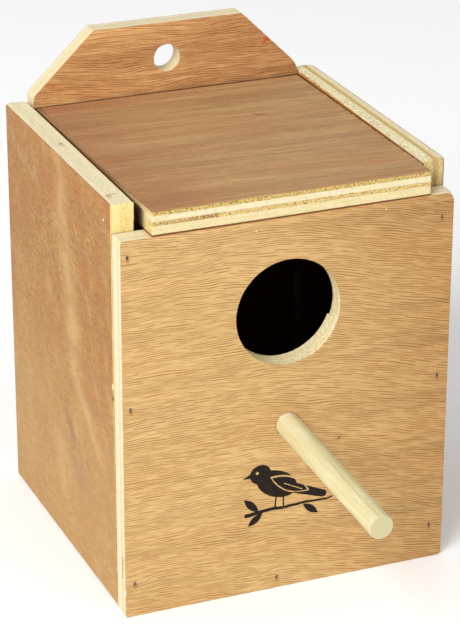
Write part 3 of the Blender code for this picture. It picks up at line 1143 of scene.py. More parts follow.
class NESTBOX_OT_side_panels(bpy.types.Operator):
    """Builds the two side panels, with rounded rear arrises and the hinge nails' pockets"""

    bl_idname = "nestbox.side_panels"
    bl_label = "Side panels"

    def execute(self, context):
        settings = context.scene.nest_box_boards
        colours = context.scene.nest_box_colours
        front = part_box("front_panel")[1].y + settings.glue_gap
        for name in ("left_side", "right_side"):
            left = name == "left_side"
            board = side_board(name)
            low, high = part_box(name)
            corners = [
                (front, low.z, 0.5 * MM),
                (high.y, low.z, 0.8 * MM),
                (high.y, high.z, 1.2 * MM),
                (front, high.z, 0.4 * MM),
            ]
            chips = self.chips(left, front, high.z)
            wear = sawn_edge(settings, board.thickness, 3.0 if left else 5.0, chips)
            board.rounded_end = (high.y, 3.0 * MM)
            board.through(
                rounded_loop(corners, settings.step), ring_depths(board.thickness), wear
            )
            nail_low, nail_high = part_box("hinge_nail_left" if left else "hinge_nail_right")
            middle = (nail_low + nail_high) / 2
            radius = 0.95 * MM
            bore = round_loop((middle.y, middle.z), radius, 0.3 * MM)
            depth = board.thickness - 1.9 * MM
            board.pocket(bore, depth, outer=False)
            material = plywood(
                name + "_plywood",
                board,
                self.veneer(colours, left),
                self.left_plies(colours) if left else self.right_plies(colours),
                self.left_marks() if left else self.right_marks(tuple(colours.cream)),
                (self.knots, self.front_end) if left else (self.frayed,),
                inner=SHADED_INSIDE,
                inner_below=INSIDE_TOP,
            )
            finish_piece(board.make(name + "_board"), [name], "box", material)
        return {"FINISHED"}

    def chips(self, left, front, top):
        """Where the front arris is broken, for sawn_edge."""
        if left:
            return [
                (front, 88.0 * MM, 1.3 * MM, 0.45 * MM, 0),
                (front, 84.0 * MM, 0.8 * MM, 0.3 * MM, 0),
                (front, 141.0 * MM, 1.2 * MM, 0.25 * MM, 0),
            ]
        return [(front, top, 1.6 * MM, 0.5 * MM, 0)]

    def veneer(self, colours, left):
        light = tuple(colours.side)
        return Veneer(
            light,
            tint(light, (0.84, 0.72, 0.66)),
            tint(light, (0.64, 0.48, 0.38)),
            pore_size=(3.2, 0.42),
            pore_share=0.85,
            pore_limits=(0.53, 0.62),
            vein_size=(3.2, 0.80),
            vein_share=0.60,
            line_size=(9.0, 1.0),
            line_share=0.35,
            fibre_share=0.8,
            cloud_size=(18.0, 34.0),
            wave=(5.0, 40.0, 50.0),
            slant=(-0.15, -0.15) if left else (0.1, 0.1),
            seed=21.0 if left else 34.0,
        )

    def left_plies(self, colours):
        cream = tuple(colours.cream)
        return (
            (0.30, tint(cream, (0.99, 1.00, 1.03)), "along", 0.15),
            (0.28, tint(cream, (0.95, 0.96, 0.97)), "along", 0.15),
            (0.42, tint(cream, (0.99, 1.00, 1.03)), "along", 0.15),
        )

    def right_plies(self, colours):
        cream = tuple(colours.cream)
        return (
            (0.30, tint(cream, (0.90, 0.91, 0.94)), "along", 0.3),
            (0.06, tint(cream, (0.92, 0.80, 0.46)), "along", 0.6),
            (0.17, tint(cream, (0.72, 0.62, 0.52)), "across", 0.4),
            (0.47, tint(cream, (0.94, 0.95, 0.88)), "along", 0.3),
        )

    def knots(self, finish, place, colour):
        """Two small knots on the left side's top edge."""
        x, y, z = place
        for centre, radii, share in (
            ((0.5, 11.2), (0.65, 1.0), 0.85),
            ((0.6, 10.2), (1.4, 2.2), 0.28),
            ((-1.7, -45.0), (0.9, 1.5), 0.70),
            ((0.2, -43.6), (1.9, 0.8), 0.45),
        ):
            ragged = (finish.noise(x / 0.9, y / 0.9, 7.0, detail=2.0) - 0.5) * 1.2
            knot = finish.spot(x + ragged, y - ragged, centre, radii, soft=0.6)
            on_top = z.rise(SIDE_TOP - 1.4, SIDE_TOP - 0.8)
            colour = finish.mix(knot * on_top * share, colour, (0.45, 0.24, 0.05))
        return colour

    def front_end(self, finish, place, colour):
        """The left side's front end is yellower, with a brown patch of open grain."""
        x, y, z = place
        end = side_front_end(y)
        cut = (abs(x) * -1.0).rise(-4.0, -3.8)
        colour = finish.mix(end * cut * 0.75, colour, (0.84, 0.68, 0.27))
        dust = finish.noise(x / 0.9, z / 1.4, 5.0, detail=2.0).rise(0.40, 0.64)
        patch = finish.spot(x, z, (0.9, 151.5), (2.2, 6.5), soft=0.9)
        return finish.mix(end * cut * dust * patch * 0.50, colour, (0.58, 0.36, 0.09))

    def frayed(self, finish, place, colour):
        """The right side's top edge, half of it furred by a blunt saw, and its dull front end."""
        x, y, z = place
        inner = (1.0 - (x + y * 0.004).rise(-1.6, 0.0)) * z.rise(SIDE_TOP - 0.8, SIDE_TOP - 0.5)
        hairs = finish.noise((y + x * 0.7) / 0.7, (x - y * 0.7) / 2.4, 3.0, detail=2.0)
        patches = finish.noise(y / 9.0, x / 4.0, 6.0, detail=2.0).rise(0.38, 0.60)
        colour = finish.mix(hairs.rise(0.50, 0.62) * inner * 0.75, colour, (0.93, 0.89, 0.66))
        dark = (1.0 - hairs).rise(0.50, 0.62) * patches
        colour = finish.mix(dark * inner * 0.75, colour, (0.37, 0.26, 0.13))
        streaks = finish.noise(x / 0.55, z / 14.0, 9.0, detail=1.0).rise(0.40, 0.60)
        duller = finish.mix(1.0, colour, (0.74, 0.66, 0.50), "MULTIPLY")
        return finish.mix(side_front_end(y) * (0.35 + streaks * 0.55), colour, duller)

    def left_marks(self):
        """A flamed figure with a lighter band, dark and pale marks, and a yellowed front arris."""
        gold = (0.76, 0.52, 0.24)

        def flame_and_light(finish, place, face):
            _, y, z = place
            sway = (finish.noise(y / 30.0, z / 16.0, 5.0, detail=2.0) - 0.5) * 16.0
            centre = (z - 115.0) * 0.16 - 6.5 - (75.0 - z).at_least(0.0) * 0.95
            band = (1.0 - abs(y - centre + sway).rise(-2.0, 13.0)) * z.rise(46.0, 70.0)
            waxing = finish.noise(z / 13.0, y / 60.0, 15.0, detail=2.0).rise(0.30, 0.60)
            face = finish.mix(band * (0.13 + waxing * 0.22), face, gold)
            second = 1.0 - abs(y - (z - 32.0) * 0.22 - 5.0 + sway * 0.3).rise(-1.0, 8.0)
            second = second * z.rise(14.0, 26.0) * (1.0 - z.rise(38.0, 52.0))
            face = finish.mix(second * 0.24, face, gold)
            red = finish.noise((y - z * 0.35) / 10.0, z / 22.0, 9.0, detail=3.0)
            upper = z.rise(50.0, 130.0)
            share = red.rise(0.46, 0.64) * (0.10 + upper * 0.42) * (1.0 - band * 0.8)
            face = finish.mix(share, face, (0.38, 0.15, 0.055))
            pale = finish.noise((y - z * 0.5) / 8.0, z / 15.0, 19.0, detail=3.0)
            face = finish.mix(pale.rise(0.50, 0.75) * 0.14, face, (0.78, 0.56, 0.29))
            near_arris = 1.0 - (SIDE_TOP - 2.9 - z).rise(0.0, 7.0)
            face = finish.mix(near_arris * 0.25, face, (0.42, 0.18, 0.065))
            # Painted light: the face is painted lighter towards the bottom.
            low = 1.0 - z.rise(20.0, 120.0)
            return finish.mix(low * 0.35, face, (0.62, 0.40, 0.17))

        def spots(finish, place, face):
            _, y, z = place
            for centre, radii, share in (
                ((-3.6, 54.8), (1.7, 4.2), 0.42),
                ((-8.4, 50.4), (1.9, 5.0), 0.38),
                ((-13.5, 40.0), (6.5, 12.0), 0.20),
                ((-25.0, 44.0), (0.6, 2.4), 0.60),
                ((-47.5, 44.0), (0.6, 0.8), 0.45),
            ):
                dark = finish.spot(y, z, centre, radii, turn=-0.45, soft=0.9)
                face = finish.mix(dark * share, face, (0.20, 0.12, 0.08))
            arris = 1.0 - y.rise(SIDE_FRONT + 0.25, SIDE_FRONT + 0.55)
            chip = finish.spot(y, z, (-53.5, 88.0), (0.9, 1.3))
            brown = finish.spot(y, z, (-53.4, 83.4), (0.6, 0.9))
            pale = finish.spot(y, z, (-46.6, 148.6), (0.5, 0.5))
            orange = finish.spot(y, z, (-52.3, 144.6), (1.1, 2.4), soft=0.8)
            coats = (
                (arris * z.rise(0.0, 130.0) * 0.8, (0.80, 0.58, 0.20)),
                (chip * 0.9, (0.88, 0.70, 0.30)),
                (brown * 0.8, (0.16, 0.07, 0.02)),
                (pale * 0.9, (0.9, 0.8, 0.55)),
                (orange * 0.5, (0.66, 0.24, 0.03)),
            )
            return finish.coats(face, coats)

        return (flame_and_light, spots)

    def right_marks(self, cream):
        """The inner veneer's top edge: orange over a dark lip, and torn away towards the front."""

        def torn(finish, place, face):
            x, y, z = place
            ragged = (finish.noise(y / 1.2, 0.0, 2.0, detail=3.0) - 0.5) * 1.1
            boundary = (y + 50.0) * 0.0105 + (SIDE_TOP - 1.0) + ragged
            bare = (z - boundary).rise(0.0, 0.10) * (1.0 - x.rise(-0.5, 0.5))
            return finish.mix(bare * 0.95, face, cream)

        def orange(finish, place, face):
            x, _, z = place
            inner = 1.0 - x.rise(-0.5, 0.5)
            stripe = z.rise(SIDE_TOP - 2.4, SIDE_TOP - 1.8)
            under_edge = 1.0 - z.rise(SIDE_TOP - 1.25, SIDE_TOP - 1.0)
            lip = under_edge * z.rise(SIDE_TOP - 2.8, SIDE_TOP - 2.2)
            coats = (
                (stripe * inner * 0.80, (0.60, 0.25, 0.035)),
                (lip * inner * 0.85, (0.12, 0.045, 0.015)),
            )
            return finish.coats(face, coats)

        return (orange, torn)


class NESTBOX_OT_back_panel(bpy.types.Operator):
    """Builds the back panel with its chamfered hanging tab"""

    bl_idname = "nestbox.back_panel"
    bl_label = "Back panel"

    def execute(self, context):
        settings = context.scene.nest_box_boards
        colours = context.scene.nest_box_colours
        board = back_board()
        low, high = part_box("back_panel")
        shoulder = 159.3 * MM
        top_left, top_right = -29.7 * MM, 30.9 * MM
        corners = [
            (low.x, low.z, 0.5 * MM),
            (high.x, low.z, 0.5 * MM),
            (high.x, shoulder, 9.0 * MM),
            (top_right, high.z, 0.5 * MM),
            (top_left, high.z, 0.6 * MM),
            (low.x, shoulder, 4.0 * MM),
        ]
        wear = sawn_edge(settings, board.thickness, 8.0)
        depths = ring_depths(board.thickness)
        board.through(rounded_loop(corners, settings.step), depths, wear)
        hang = opening("hanging_hole")
        hole = round_loop((hang.x, hang.z), HANG_HOLE_RADIUS, 0.5 * settings.step)
        board.through(hole, depths, sawn_edge(settings, board.thickness, 11.0))
        material = plywood(
            "back_plywood",
            board,
            self.veneer(colours),
            self.plies(colours),
            self.marks(),
            inner=SHADED_INSIDE,
            inner_below=INSIDE_TOP,
        )
        finish_piece(board.make("back_board"), ["back_panel"], "box", material)
        return {"FINISHED"}

    def veneer(self, colours):
        light = tuple(colours.back)
        return Veneer(
            light,
            tint(light, (0.82, 0.72, 0.66)),
            tint(light, (0.56, 0.40, 0.30)),
            pore_size=(9.0, 0.31),
            pore_share=0.34,
            pore_limits=(0.52, 0.65),
            vein_size=(12.0, 0.78),
            vein_share=0.92,
            line_size=(24.0, 0.75),
            line_share=0.35,
            fibre_share=0.40,
            wave=(3.5, 48.0, 26.0),
            slant=(0.10, -0.03),
            seed=47.0,
        )

    def plies(self, colours):
        cream = tuple(colours.cream)
        return (
            (0.30, tint(cream, (0.95, 0.96, 1.06)), "along", 0.1),
            (0.38, tint(cream, (0.89, 0.90, 0.97)), "across", 0.1),
            (0.32, tint(cream, (0.93, 0.94, 1.04)), "along", 0.1),
        )

    def marks(self):
        """Orange stain marks at the chamfers, a redder right half and a dark line behind the lid,
        its painted shadow.
        """

        def stains_and_shade(finish, place, face):
            x, y, z = place
            front = 1.0 - y.rise(-0.5, 0.5)
            ragged = finish.noise(x / 3.0, z / 1.2, 4.0, detail=2.0)
            for centre, radii, share in (
                ((42.0, 170.8), (2.2, 1.6), 1.1),
                ((-46.4, 162.6), (2.2, 0.9), 0.6),
            ):
                stain = finish.spot(x, z, centre, radii, soft=0.8) * ragged.rise(0.42, 0.6)
                face = finish.mix(stain * share * front, face, (0.62, 0.12, 0.02))
            redder = finish.mix(1.0, face, (0.86, 0.79, 0.77), "MULTIPLY")
            face = finish.mix(x.rise(-12.0, 34.0) * front, face, redder)
            lid_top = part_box("lid")[1].z / MM
            # Painted shadow: the tab's face is painted dark just below the lid's top, where the lid
            # shades it.
            shadow_behind_lid = (1.0 - z.rise(lid_top - 0.3, lid_top - 0.05)) * z.rise(152.0, 153.0)
            return finish.mix(shadow_behind_lid * front * 0.85, face, (0.10, 0.045, 0.02))

        return (stains_and_shade,)


class NESTBOX_OT_floor_panel(bpy.types.Operator):
    """Builds the floor panel"""

    bl_idname = "nestbox.floor_panel"
    bl_label = "Floor panel"

    def execute(self, context):
        settings = context.scene.nest_box_boards
        colours = context.scene.nest_box_colours
        board = floor_board()
        inner_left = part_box("left_side")[1].x + settings.glue_gap
        inner_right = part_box("right_side")[0].x - settings.glue_gap
        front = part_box("front_panel")[1].y + settings.glue_gap
        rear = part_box("back_panel")[0].y - settings.glue_gap
        corners = [
            (inner_left, front, 0.4 * MM),
            (inner_right, front, 0.4 * MM),
            (inner_right, rear, 0.4 * MM),
            (inner_left, rear, 0.4 * MM),
        ]
        wear = sawn_edge(settings, board.thickness, 14.0)
        board.through(rounded_loop(corners, settings.step), ring_depths(board.thickness), wear)
        light = tint(tuple(colours.side), SHADED_INSIDE)
        veneer = Veneer(
            light, tint(light, (0.86, 0.78, 0.72)), tint(light, (0.7, 0.55, 0.45)), seed=60.0
        )
        cream = tuple(colours.cream)
        plies = (
            (0.3, cream, "along", 0.3),
            (0.4, shade(cream, 0.92), "across", 0.3),
            (0.3, cream, "along", 0.3),
        )
        material = plywood("floor_plywood", board, veneer, plies)
        finish_piece(board.make("floor_board"), ["floor_panel"], "box", material)
        return {"FINISHED"}


class NESTBOX_OT_lid(bpy.types.Operator):
    """Builds the lid, a little askew, with its torn right edge and hinge bores"""

    bl_idname = "nestbox.lid"
    bl_label = "Lid"

    def execute(self, context):
        settings = context.scene.nest_box_boards
        colours = context.scene.nest_box_colours
        board = lid_board()
        low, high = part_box("lid")
        front_left, front_right, rear_right, rear_left = self.corners()
        corners = [
            (*front_left, 0.5 * MM),
            (*front_right, 0.6 * MM),
            (*rear_right, 0.5 * MM),
            (*rear_left, 0.5 * MM),
        ]

        def torn(a, b):
            """The right edge is torn all along, and the front edge in its right half."""
            right = max(0.0, 1 - (high.x - a) / (2.5 * MM))
            front = max(0.0, 1 - (b - low.y) / (1.5 * MM))
            return 1.0 + 2.2 * right + (0.9 + 0.9 * max(0.0, a / high.x)) * front

        wear = sawn_edge(settings, board.thickness, 17.0, torn=torn, inner_ease=0.3)
        board.through(rounded_loop(corners, settings.step), ring_depths(board.thickness), wear)
        material = plywood(
            "lid_plywood",
            board,
            self.veneer(colours),
            self.plies(colours),
            self.marks(),
            (self.brown_ply_and_gap_shade,),
            # Painted shade: the underside is painted darker, as little light reaches it.
            inner=(0.5, 0.45, 0.4),
        )
        lid = board.make("lid_board")
        self.bore_hinges(lid)
        finish_piece(lid, ["lid"], "lid", material)
        return {"FINISHED"}

    def corners(self):
        """The lid's own four corners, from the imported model."""
        points = [vertex.co for vertex in frame["nodes"]["lid"].data.vertices]
        found = []
        for side_a, side_b in ((-1, -1), (1, -1), (1, 1), (-1, 1)):
            far = max(points, key=lambda p: side_a * p.x * 0.2 + side_b * p.y)
            edge = [p for p in points if abs(p.y - far.y) < 0.1 * MM]
            across = (max if side_a > 0 else min)(p.x for p in edge)
            found.append((across, far.y))
        return found

    def bore_hinges(self, lid):
        """Drills the two bores that the lid turns on its nails by."""
        for name in ("hinge_nail_left", "hinge_nail_right"):
            low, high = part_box(name)
            middle = (low + high) / 2
            shape = bmesh.new()
            spin = Matrix.Rotation(math.radians(90), 4, "Y")
            radius, spare = 1.1 * MM, 0.6 * MM
            bmesh.ops.create_cone(
                shape,
                cap_ends=True,
                segments=24,
                radius1=radius,
                radius2=radius,
                depth=high.x - low.x + spare,
                matrix=Matrix.Translation(middle) @ spin,
            )
            drill_mesh = bpy.data.meshes.new("drill")
            shape.to_mesh(drill_mesh)
            shape.free()
            drill = add_piece("drill", drill_mesh)
            cut = lid.modifiers.new("bore", "BOOLEAN")
            cut.operation = "DIFFERENCE"
            cut.solver = "EXACT"
            cut.object = drill
            bake_modifiers(lid)
            bpy.data.objects.remove(drill)

    def veneer(self, colours):
        light = tuple(colours.lid)
        return Veneer(
            light,
            tint(light, (0.88, 0.75, 0.73)),
            tint(light, (0.72, 0.57, 0.49)),
            pore_size=(9.0, 0.40),
            pore_share=0.42,
            pore_limits=(0.52, 0.66),
            vein_size=(14.0, 1.2),
            vein_share=0.42,
            line_size=(30.0, 1.3),
            line_share=0.50,
            fibre_share=0.55,
            cloud_size=(60.0, 9.0),
            wave=(2.0, 60.0, 40.0),
            slant=(0.07, 0.07),
            seed=73.0,
        )

    def plies(self, colours):
        cream = tuple(colours.cream)
        return (
            (0.20, tint(cream, (0.80, 0.73, 0.54)), "across", 1.0),
            (0.24, tint(cream, (0.98, 0.97, 0.96)), "along", 0.4),
            (0.17, tint(cream, (0.88, 0.80, 0.70)), "across", 0.9),
            (0.39, tint(cream, (0.94, 0.90, 0.78)), "along", 0.4),
        )

    def brown_ply_and_gap_shade(self, finish, place, colour):
        """The left edge, painted dark as shade in its gap, and the front's third ply, brown at the
        left.
        """
        x, y, z = place
        specks = finish.noise(x / 0.8, y / 0.8, z / 0.8, detail=1.0).rise(0.34, 0.52)
        third = z.rise(-1.05, -0.85) * (1.0 - z.rise(0.40, 0.60)) * (1.0 - x.rise(-27.5, -26.5))
        third = third * (1.0 - y.rise(-60.0, -59.0)) * (0.45 + 0.55 * x.rise(-44.0, -30.0))
        colour = finish.mix(third * specks * 0.90, colour, (0.28, 0.15, 0.05))
        # Painted shadow: the left edge is painted dark below a line that rises towards the rear,
        # where the left side shades it.
        boundary = y * 0.02 + 3.45
        below = 1.0 - (z - boundary).rise(-0.2, 0.2)
        side = (x * -1.0).rise(51.2, 51.8)
        hidden = y.rise(-57.5, -52.0)
        # Painted shade: the left edge is painted dark brown where it sits in the gap.
        gap_shade = y.rise(-48.0, -22.0) * side * z.rise(0.0, 1.0)
        colour = finish.mix(gap_shade * 0.9, colour, (0.33, 0.175, 0.078))
        return finish.mix(side * below * hidden * 0.94, colour, (0.10, 0.055, 0.03))

    def marks(self):
        """A darker left half, a redder rear edge and one faint knot mark."""

        def marks(finish, place, face):
            x, y, _ = place
            darker = finish.mix(1.0, face, (0.86, 0.76, 0.76), "MULTIPLY")
            face = finish.mix(1.0 - x.rise(-56.0, -8.0), face, darker)
            rear = y.rise(44.0, 54.0) * (1.0 - x.rise(-50.0, 40.0) * 0.7)
            face = finish.mix(rear * 0.55, face, (0.42, 0.17, 0.09))
            knot = finish.spot(x, y, (21.8, 16.0), (3.0, 0.9), turn=-0.35, soft=0.8)
            return finish.mix(knot * 0.62, face, (0.20, 0.09, 0.07))

        return (marks,)


def bake_modifiers(piece):
    """Turns the piece's modifiers into its own mesh."""
    graph = bpy.context.evaluated_depsgraph_get()
    made = bpy.data.meshes.new_from_object(piece.evaluated_get(graph))
    old = piece.data
    piece.modifiers.clear()
    piece.data = made
    bpy.data.meshes.remove(old)


class NESTBOX_OT_perch(bpy.types.Operator):
    """Builds the perch: a planed dowel with a furred, slightly crushed tip"""

    bl_idname = "nestbox.perch"
    bl_label = "Perch"

    def execute(self, context):
        colours = context.scene.nest_box_colours
        root, tip, radius = perch_ends()
        piece = add_piece("perch", self.turned(root, tip, radius))
        material = self.wood(tuple(colours.dowel), root, tip)
        finish_piece(piece, ["perch_dowel"], "box", material)
        return {"FINISHED"}

    def turned(self, root, tip, radius):
        """The dowel's mesh: flats and grooves along it, and an eased, crushed rim at its tip."""
        around, along = 80, 110
        axis = (tip - root).normalized()
        side = axis.cross(Z_AXIS).normalized()
        up = side.cross(axis)
        length = (tip - root).length
        ease = 0.55 * MM
        stations = [length * step / along for step in range(along)]
        stations += [length - ease * (1 - math.sin(math.pi / 2 * k / 5)) for k in range(6)]
        stations = sorted(set(stations))
        points, faces = [], []
        for distance in stations:
            left = length - distance
            tuck = ease - math.sqrt(max(0.0, ease**2 - max(0.0, ease - left) ** 2))
            for index in range(around):
                turn = 2 * math.pi * index / around
                spoke = side * math.cos(turn) + up * math.sin(turn)
                # Drawn out along the dowel, so that its flats and grooves are long.
                where = Vector((4 * math.cos(turn), 4 * math.sin(turn), distance / MM / 14))
                flat = 0.10 * noise.noise(where / 1.8)
                groove = 0.05 * noise.noise(Vector((where.x * 2.2, where.y * 2.2, where.z / 3)))
                crush = 0.35 * max(0.0, noise.noise(where * 1.9)) * max(0.0, 1 - left / (1.6 * MM))
                reach = radius - tuck * (0.75 + 0.5 * noise.noise(where * 1.5))
                reach -= (abs(flat) + abs(groove) + crush) * MM
                points.append(root + axis * distance + spoke * reach)
        rings = len(stations)
        for ring in range(rings - 1):
            for index in range(around):
                after = (index + 1) % around
                first, second = ring * around, (ring + 1) * around
                faces.append((first + index, first + after, second + after, second + index))
        faces.append(tuple(reversed(range(around))))
        self.close_tip(points, faces, (rings - 1) * around, around, tip)
        return closed_mesh("perch", points, faces, sharp=38)

    def close_tip(self, points, faces, first, around, tip):
        """Rings of the cut end, with the saw's slight relief."""
        rim = [points[first + index].copy() for index in range(around)]
        rings = 7
        previous = first
        for ring in range(1, rings):
            start = len(points)
            for point in rim:
                moved = point.lerp(tip, ring / rings)
                where = moved / MM
                moved.y += 0.06 * MM * (0.5 + 0.5 * noise.noise(where / 0.9))
                points.append(moved)
            for index in range(around):
                after = (index + 1) % around
                faces.append((previous + index, previous + after, start + after, start + index))
            previous = start
        faces.append(tuple(previous + index for index in range(around)))

    def wood(self, light, root, tip):
        """Pale straight-grained wood, marbled and stained, with two drying checks along it."""
        finish = Finish("dowel_wood", roughness=0.7, specular=0.14)
        x, y, z = finish.place(root)
        axis = (tip - root).normalized()
        along = x * axis.x + y * axis.y + z * axis.z
        a, c = x - along * axis.x, z - along * axis.z
        straws = finish.noise(a / 0.60, c / 0.60, along / 18.0, detail=2.0)
        broad = finish.noise(a / 2.6, c / 2.6, along / 60.0, detail=2.0)
        pores = finish.noise(a / 0.28, c / 0.28, along / 5.0, detail=2.0).rise(0.60, 0.74)
        marbled = finish.noise((a + c) / 4.0, c / 4.0, along / 16.0, detail=3.0)
        stained = finish.noise(a / 3.0 + 5.0, c / 3.0, along / 24.0, detail=2.0)
        coats = (
            (broad.rise(0.35, 0.7), tint(light, (0.94, 0.90, 0.78))),
            (straws.rise(0.45, 0.65) * 0.22, tint(light, (0.84, 0.76, 0.56))),
            (pores * 0.28, tint(light, (0.66, 0.52, 0.34))),
            (marbled.rise(0.50, 0.68) * 0.45, tint(light, (1.16, 1.18, 1.30))),
            (stained.rise(0.52, 0.70) * 0.40, tint(light, (0.96, 0.86, 0.58))),
        )
        colour = finish.coats(light, coats)
        for lean, start in (((0.28, 0.96), 3.0), ((-0.25, 0.97), 44.0)):
            sway = (finish.noise(along / 14.0, 0.0, start) - 0.5) * 1.2
            offset = a * lean[1] - c * lean[0] + sway
            seen = (a * lean[0] + c * lean[1]).rise(2.0, 3.0)
            check = (1.0 - abs(offset).rise(0.10, 0.34)) * seen
            broken = finish.noise(along / 9.0, 2.0, start).rise(0.36, 0.52)
            broken = broken * along.rise(start, start + 9.0)
            colour = finish.mix(check * broken * 0.42, colour, tint(light, (0.58, 0.46, 0.26)))
        length = (tip - root).length / MM
        end = along.rise(length - 0.5, length - 0.1)
        grit = finish.noise(x / 0.35, z / 0.35, y / 0.35, detail=2.0)
        cut_end = (
            (end, tint(light, (0.90, 0.86, 0.80))),
            (end * grit.rise(0.35, 0.75) * 0.4, tint(light, (0.66, 0.62, 0.50))),
        )
        colour = finish.coats(colour, cut_end)
        height = straws * 0.6 + grit * 0.4 * end - pores * 0.4
        return finish.out(colour, 0.65 + end * 0.2, finish.bump(height, 0.16 * MM, 0.7))


class NESTBOX_OT_nails(bpy.types.Operator):
    """Gives every nail its drawn-steel finish"""

    bl_idname = "nestbox.nails"
    bl_label = "Nails"

    def execute(self, context):
        finish = Finish("nail_steel", roughness=0.38, metallic=1.0)
        x, y, z = finish.place()
        drawn = finish.noise(x / 0.25, y / 0.25, z / 0.25, detail=3.0)
        dull = finish.noise(x / 1.5, y / 1.5, z / 1.5, detail=2.0)
        colour = finish.mix(dull.rise(0.3, 0.7), (0.10, 0.12, 0.17), (0.22, 0.24, 0.28))
        normal = finish.bump(drawn, 0.03 * MM, 0.4)
        material = finish.out(colour, 0.30 + drawn * 0.3, normal)
        for name, node in frame["nodes"].items():
            if "nail" in name:
                node.data.materials.clear()
                node.data.materials.append(material)
        return {"FINISHED"}


class NESTBOX_OT_fibres(bpy.types.Operator):
    """Scatters torn fibres along the rough edges"""

    bl_idname = "nestbox.fibres"
    bl_label = "Torn fibres"

    def execute(self, context):
        settings = context.scene.nest_box_fibres
        pale = Finish("fibre_wood", roughness=0.7, specular=0.2)
        x, y, z = pale.place()
        tone = pale.noise(x / 0.6, y / 0.6, z / 0.6, detail=1.0)
        cream = tuple(context.scene.nest_box_colours.cream)
        colour = pale.mix(tone.rise(0.3, 0.7), cream, tint(cream, (0.9, 0.72, 0.42)))
        material = pale.out(colour, 0.7)
        tree = self.tree()
        for name, body, slot, path, direction, times in self.edges():
            self.scatter(name, body, slot, path, direction, times, tree, material, settings)
        return {"FINISHED"}

    def edges(self):
        """(name, body, slot, points of the edge, direction the fibres lean, how long they are)"""
        lid_low, lid_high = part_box("lid")
        inset = 0.25 * MM
        top = lid_high.z - inset
        right = [
            (lid_high.x - 0.9 * MM, lid_high.y - 1 * MM, top),
            (lid_high.x - inset, lid_low.y + 1 * MM, top),
        ]
        front = [
            (lid_low.x + 4 * MM, lid_low.y + inset, top),
            (lid_high.x - 1 * MM, lid_low.y + inset, top),
        ]
        entry = opening("entry_hole")
        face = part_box("front_panel")[0].y
        reach = ENTRY_RADIUS + 0.05 * MM
        sweep, steps = math.radians(95), 24
        rim = []
        for step in range(steps + 1):
            turn = sweep * (step / steps - 1)
            x, z = entry.x + reach * math.cos(turn), entry.z + reach * math.sin(turn)
            rim.append((x, face + 0.4 * MM, z))
        side_low, side_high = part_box("right_side")
        arris = [
            (side_low.x + inset, 22.0 * MM, side_high.z - inset),
            (side_low.x + inset, -52.0 * MM, side_high.z - inset),
        ]
        back_low, back_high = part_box("back_panel")
        tab = [(x * MM, back_low.y + inset, back_high.z - inset) for x in (-28.0, 29.0)]
        return (
            ("lid_fibres_right", "lid", "lid_plywood", right, (1.0, 0.0, 0.5), 1.0),
            ("lid_fibres_front", "lid", "lid_plywood", front, (0.2, -0.4, 0.6), 0.4),
            ("entry_fibres", "box", "front_plywood", rim, (-0.4, -0.5, 0.5), 0.55),
            ("side_fibres", "box", "side_plywood", arris, (-0.5, 0.5, 0.6), 0.55),
            ("tab_fibres", "box", "back_plywood", tab, (0.3, -0.5, 0.6), 0.35),
        )

    def tree(self):
        """Curve to points, a tapered sliver on each, turned and sized at random."""
        tree = bpy.data.node_groups.new("torn_fibres", "GeometryNodeTree")
        sockets = (
            ("Geometry", "INPUT", "NodeSocketGeometry"),
            ("Spacing", "INPUT", "NodeSocketFloat"),
            ("Length", "INPUT", "NodeSocketFloat"),
            ("Radius", "INPUT", "NodeSocketFloat"),
            ("Direction", "INPUT", "NodeSocketVector"),
            ("Seed", "INPUT", "NodeSocketInt"),
            ("Material", "INPUT", "NodeSocketMaterial"),
            ("Geometry", "OUTPUT", "NodeSocketGeometry"),
        )
        for name, way, kind in sockets:
            tree.interface.new_socket(name, in_out=way, socket_type=kind)
        nodes, links = tree.nodes, tree.links
        given = nodes.new("NodeGroupInput").outputs
        curve = nodes.new("GeometryNodeMeshToCurve")
        points = nodes.new("GeometryNodeCurveToPoints")
        points.mode = "LENGTH"
        sliver = nodes.new("GeometryNodeMeshCone")
        sliver.inputs["Vertices"].default_value = 5
        lean = nodes.new("FunctionNodeAlignRotationToVector")
        lean.axis = "Z"
        wobble = nodes.new("FunctionNodeRandomValue")
        wobble.data_type = "FLOAT_VECTOR"
        wobble.inputs["Min"].default_value = (-0.7, -0.7, -0.7)
        wobble.inputs["Max"].default_value = (0.7, 0.7, 0.7)
        as_turn = nodes.new("FunctionNodeEulerToRotation")
        turned = nodes.new("FunctionNodeRotateRotation")
        sizes = nodes.new("FunctionNodeRandomValue")
        sizes.data_type = "FLOAT"
        placed = nodes.new("GeometryNodeInstanceOnPoints")
        real = nodes.new("GeometryNodeRealizeInstances")
        painted = nodes.new("GeometryNodeSetMaterial")
        leave = nodes.new("NodeGroupOutput")
        size_low, size_high = [s for s in sizes.inputs if s.type == "VALUE"][:2]
        size_low.default_value = 0.15
        size_high.default_value = 1.0
        for start, end in (
            (given["Geometry"], curve.inputs["Mesh"]),
            (curve.outputs["Curve"], points.inputs["Curve"]),
            (given["Spacing"], points.inputs["Length"]),
            (given["Radius"], sliver.inputs["Radius Bottom"]),
            (given["Length"], sliver.inputs["Depth"]),
            (given["Direction"], lean.inputs["Vector"]),
            (given["Seed"], wobble.inputs["Seed"]),
            (given["Seed"], sizes.inputs["Seed"]),
            (wobble.outputs[0], as_turn.inputs[0]),
            (lean.outputs[0], turned.inputs[0]),
            (as_turn.outputs[0], turned.inputs[1]),
            (points.outputs["Points"], placed.inputs["Points"]),
            (sliver.outputs["Mesh"], placed.inputs["Instance"]),
            (turned.outputs[0], placed.inputs["Rotation"]),
            ([s for s in sizes.outputs if s.type == "VALUE"][0], placed.inputs["Scale"]),
            (placed.outputs["Instances"], real.inputs["Geometry"]),
            (real.outputs["Geometry"], painted.inputs["Geometry"]),
            (given["Material"], painted.inputs["Material"]),
            (painted.outputs["Geometry"], leave.inputs["Geometry"]),
        ):
            links.new(start, end)
        return tree

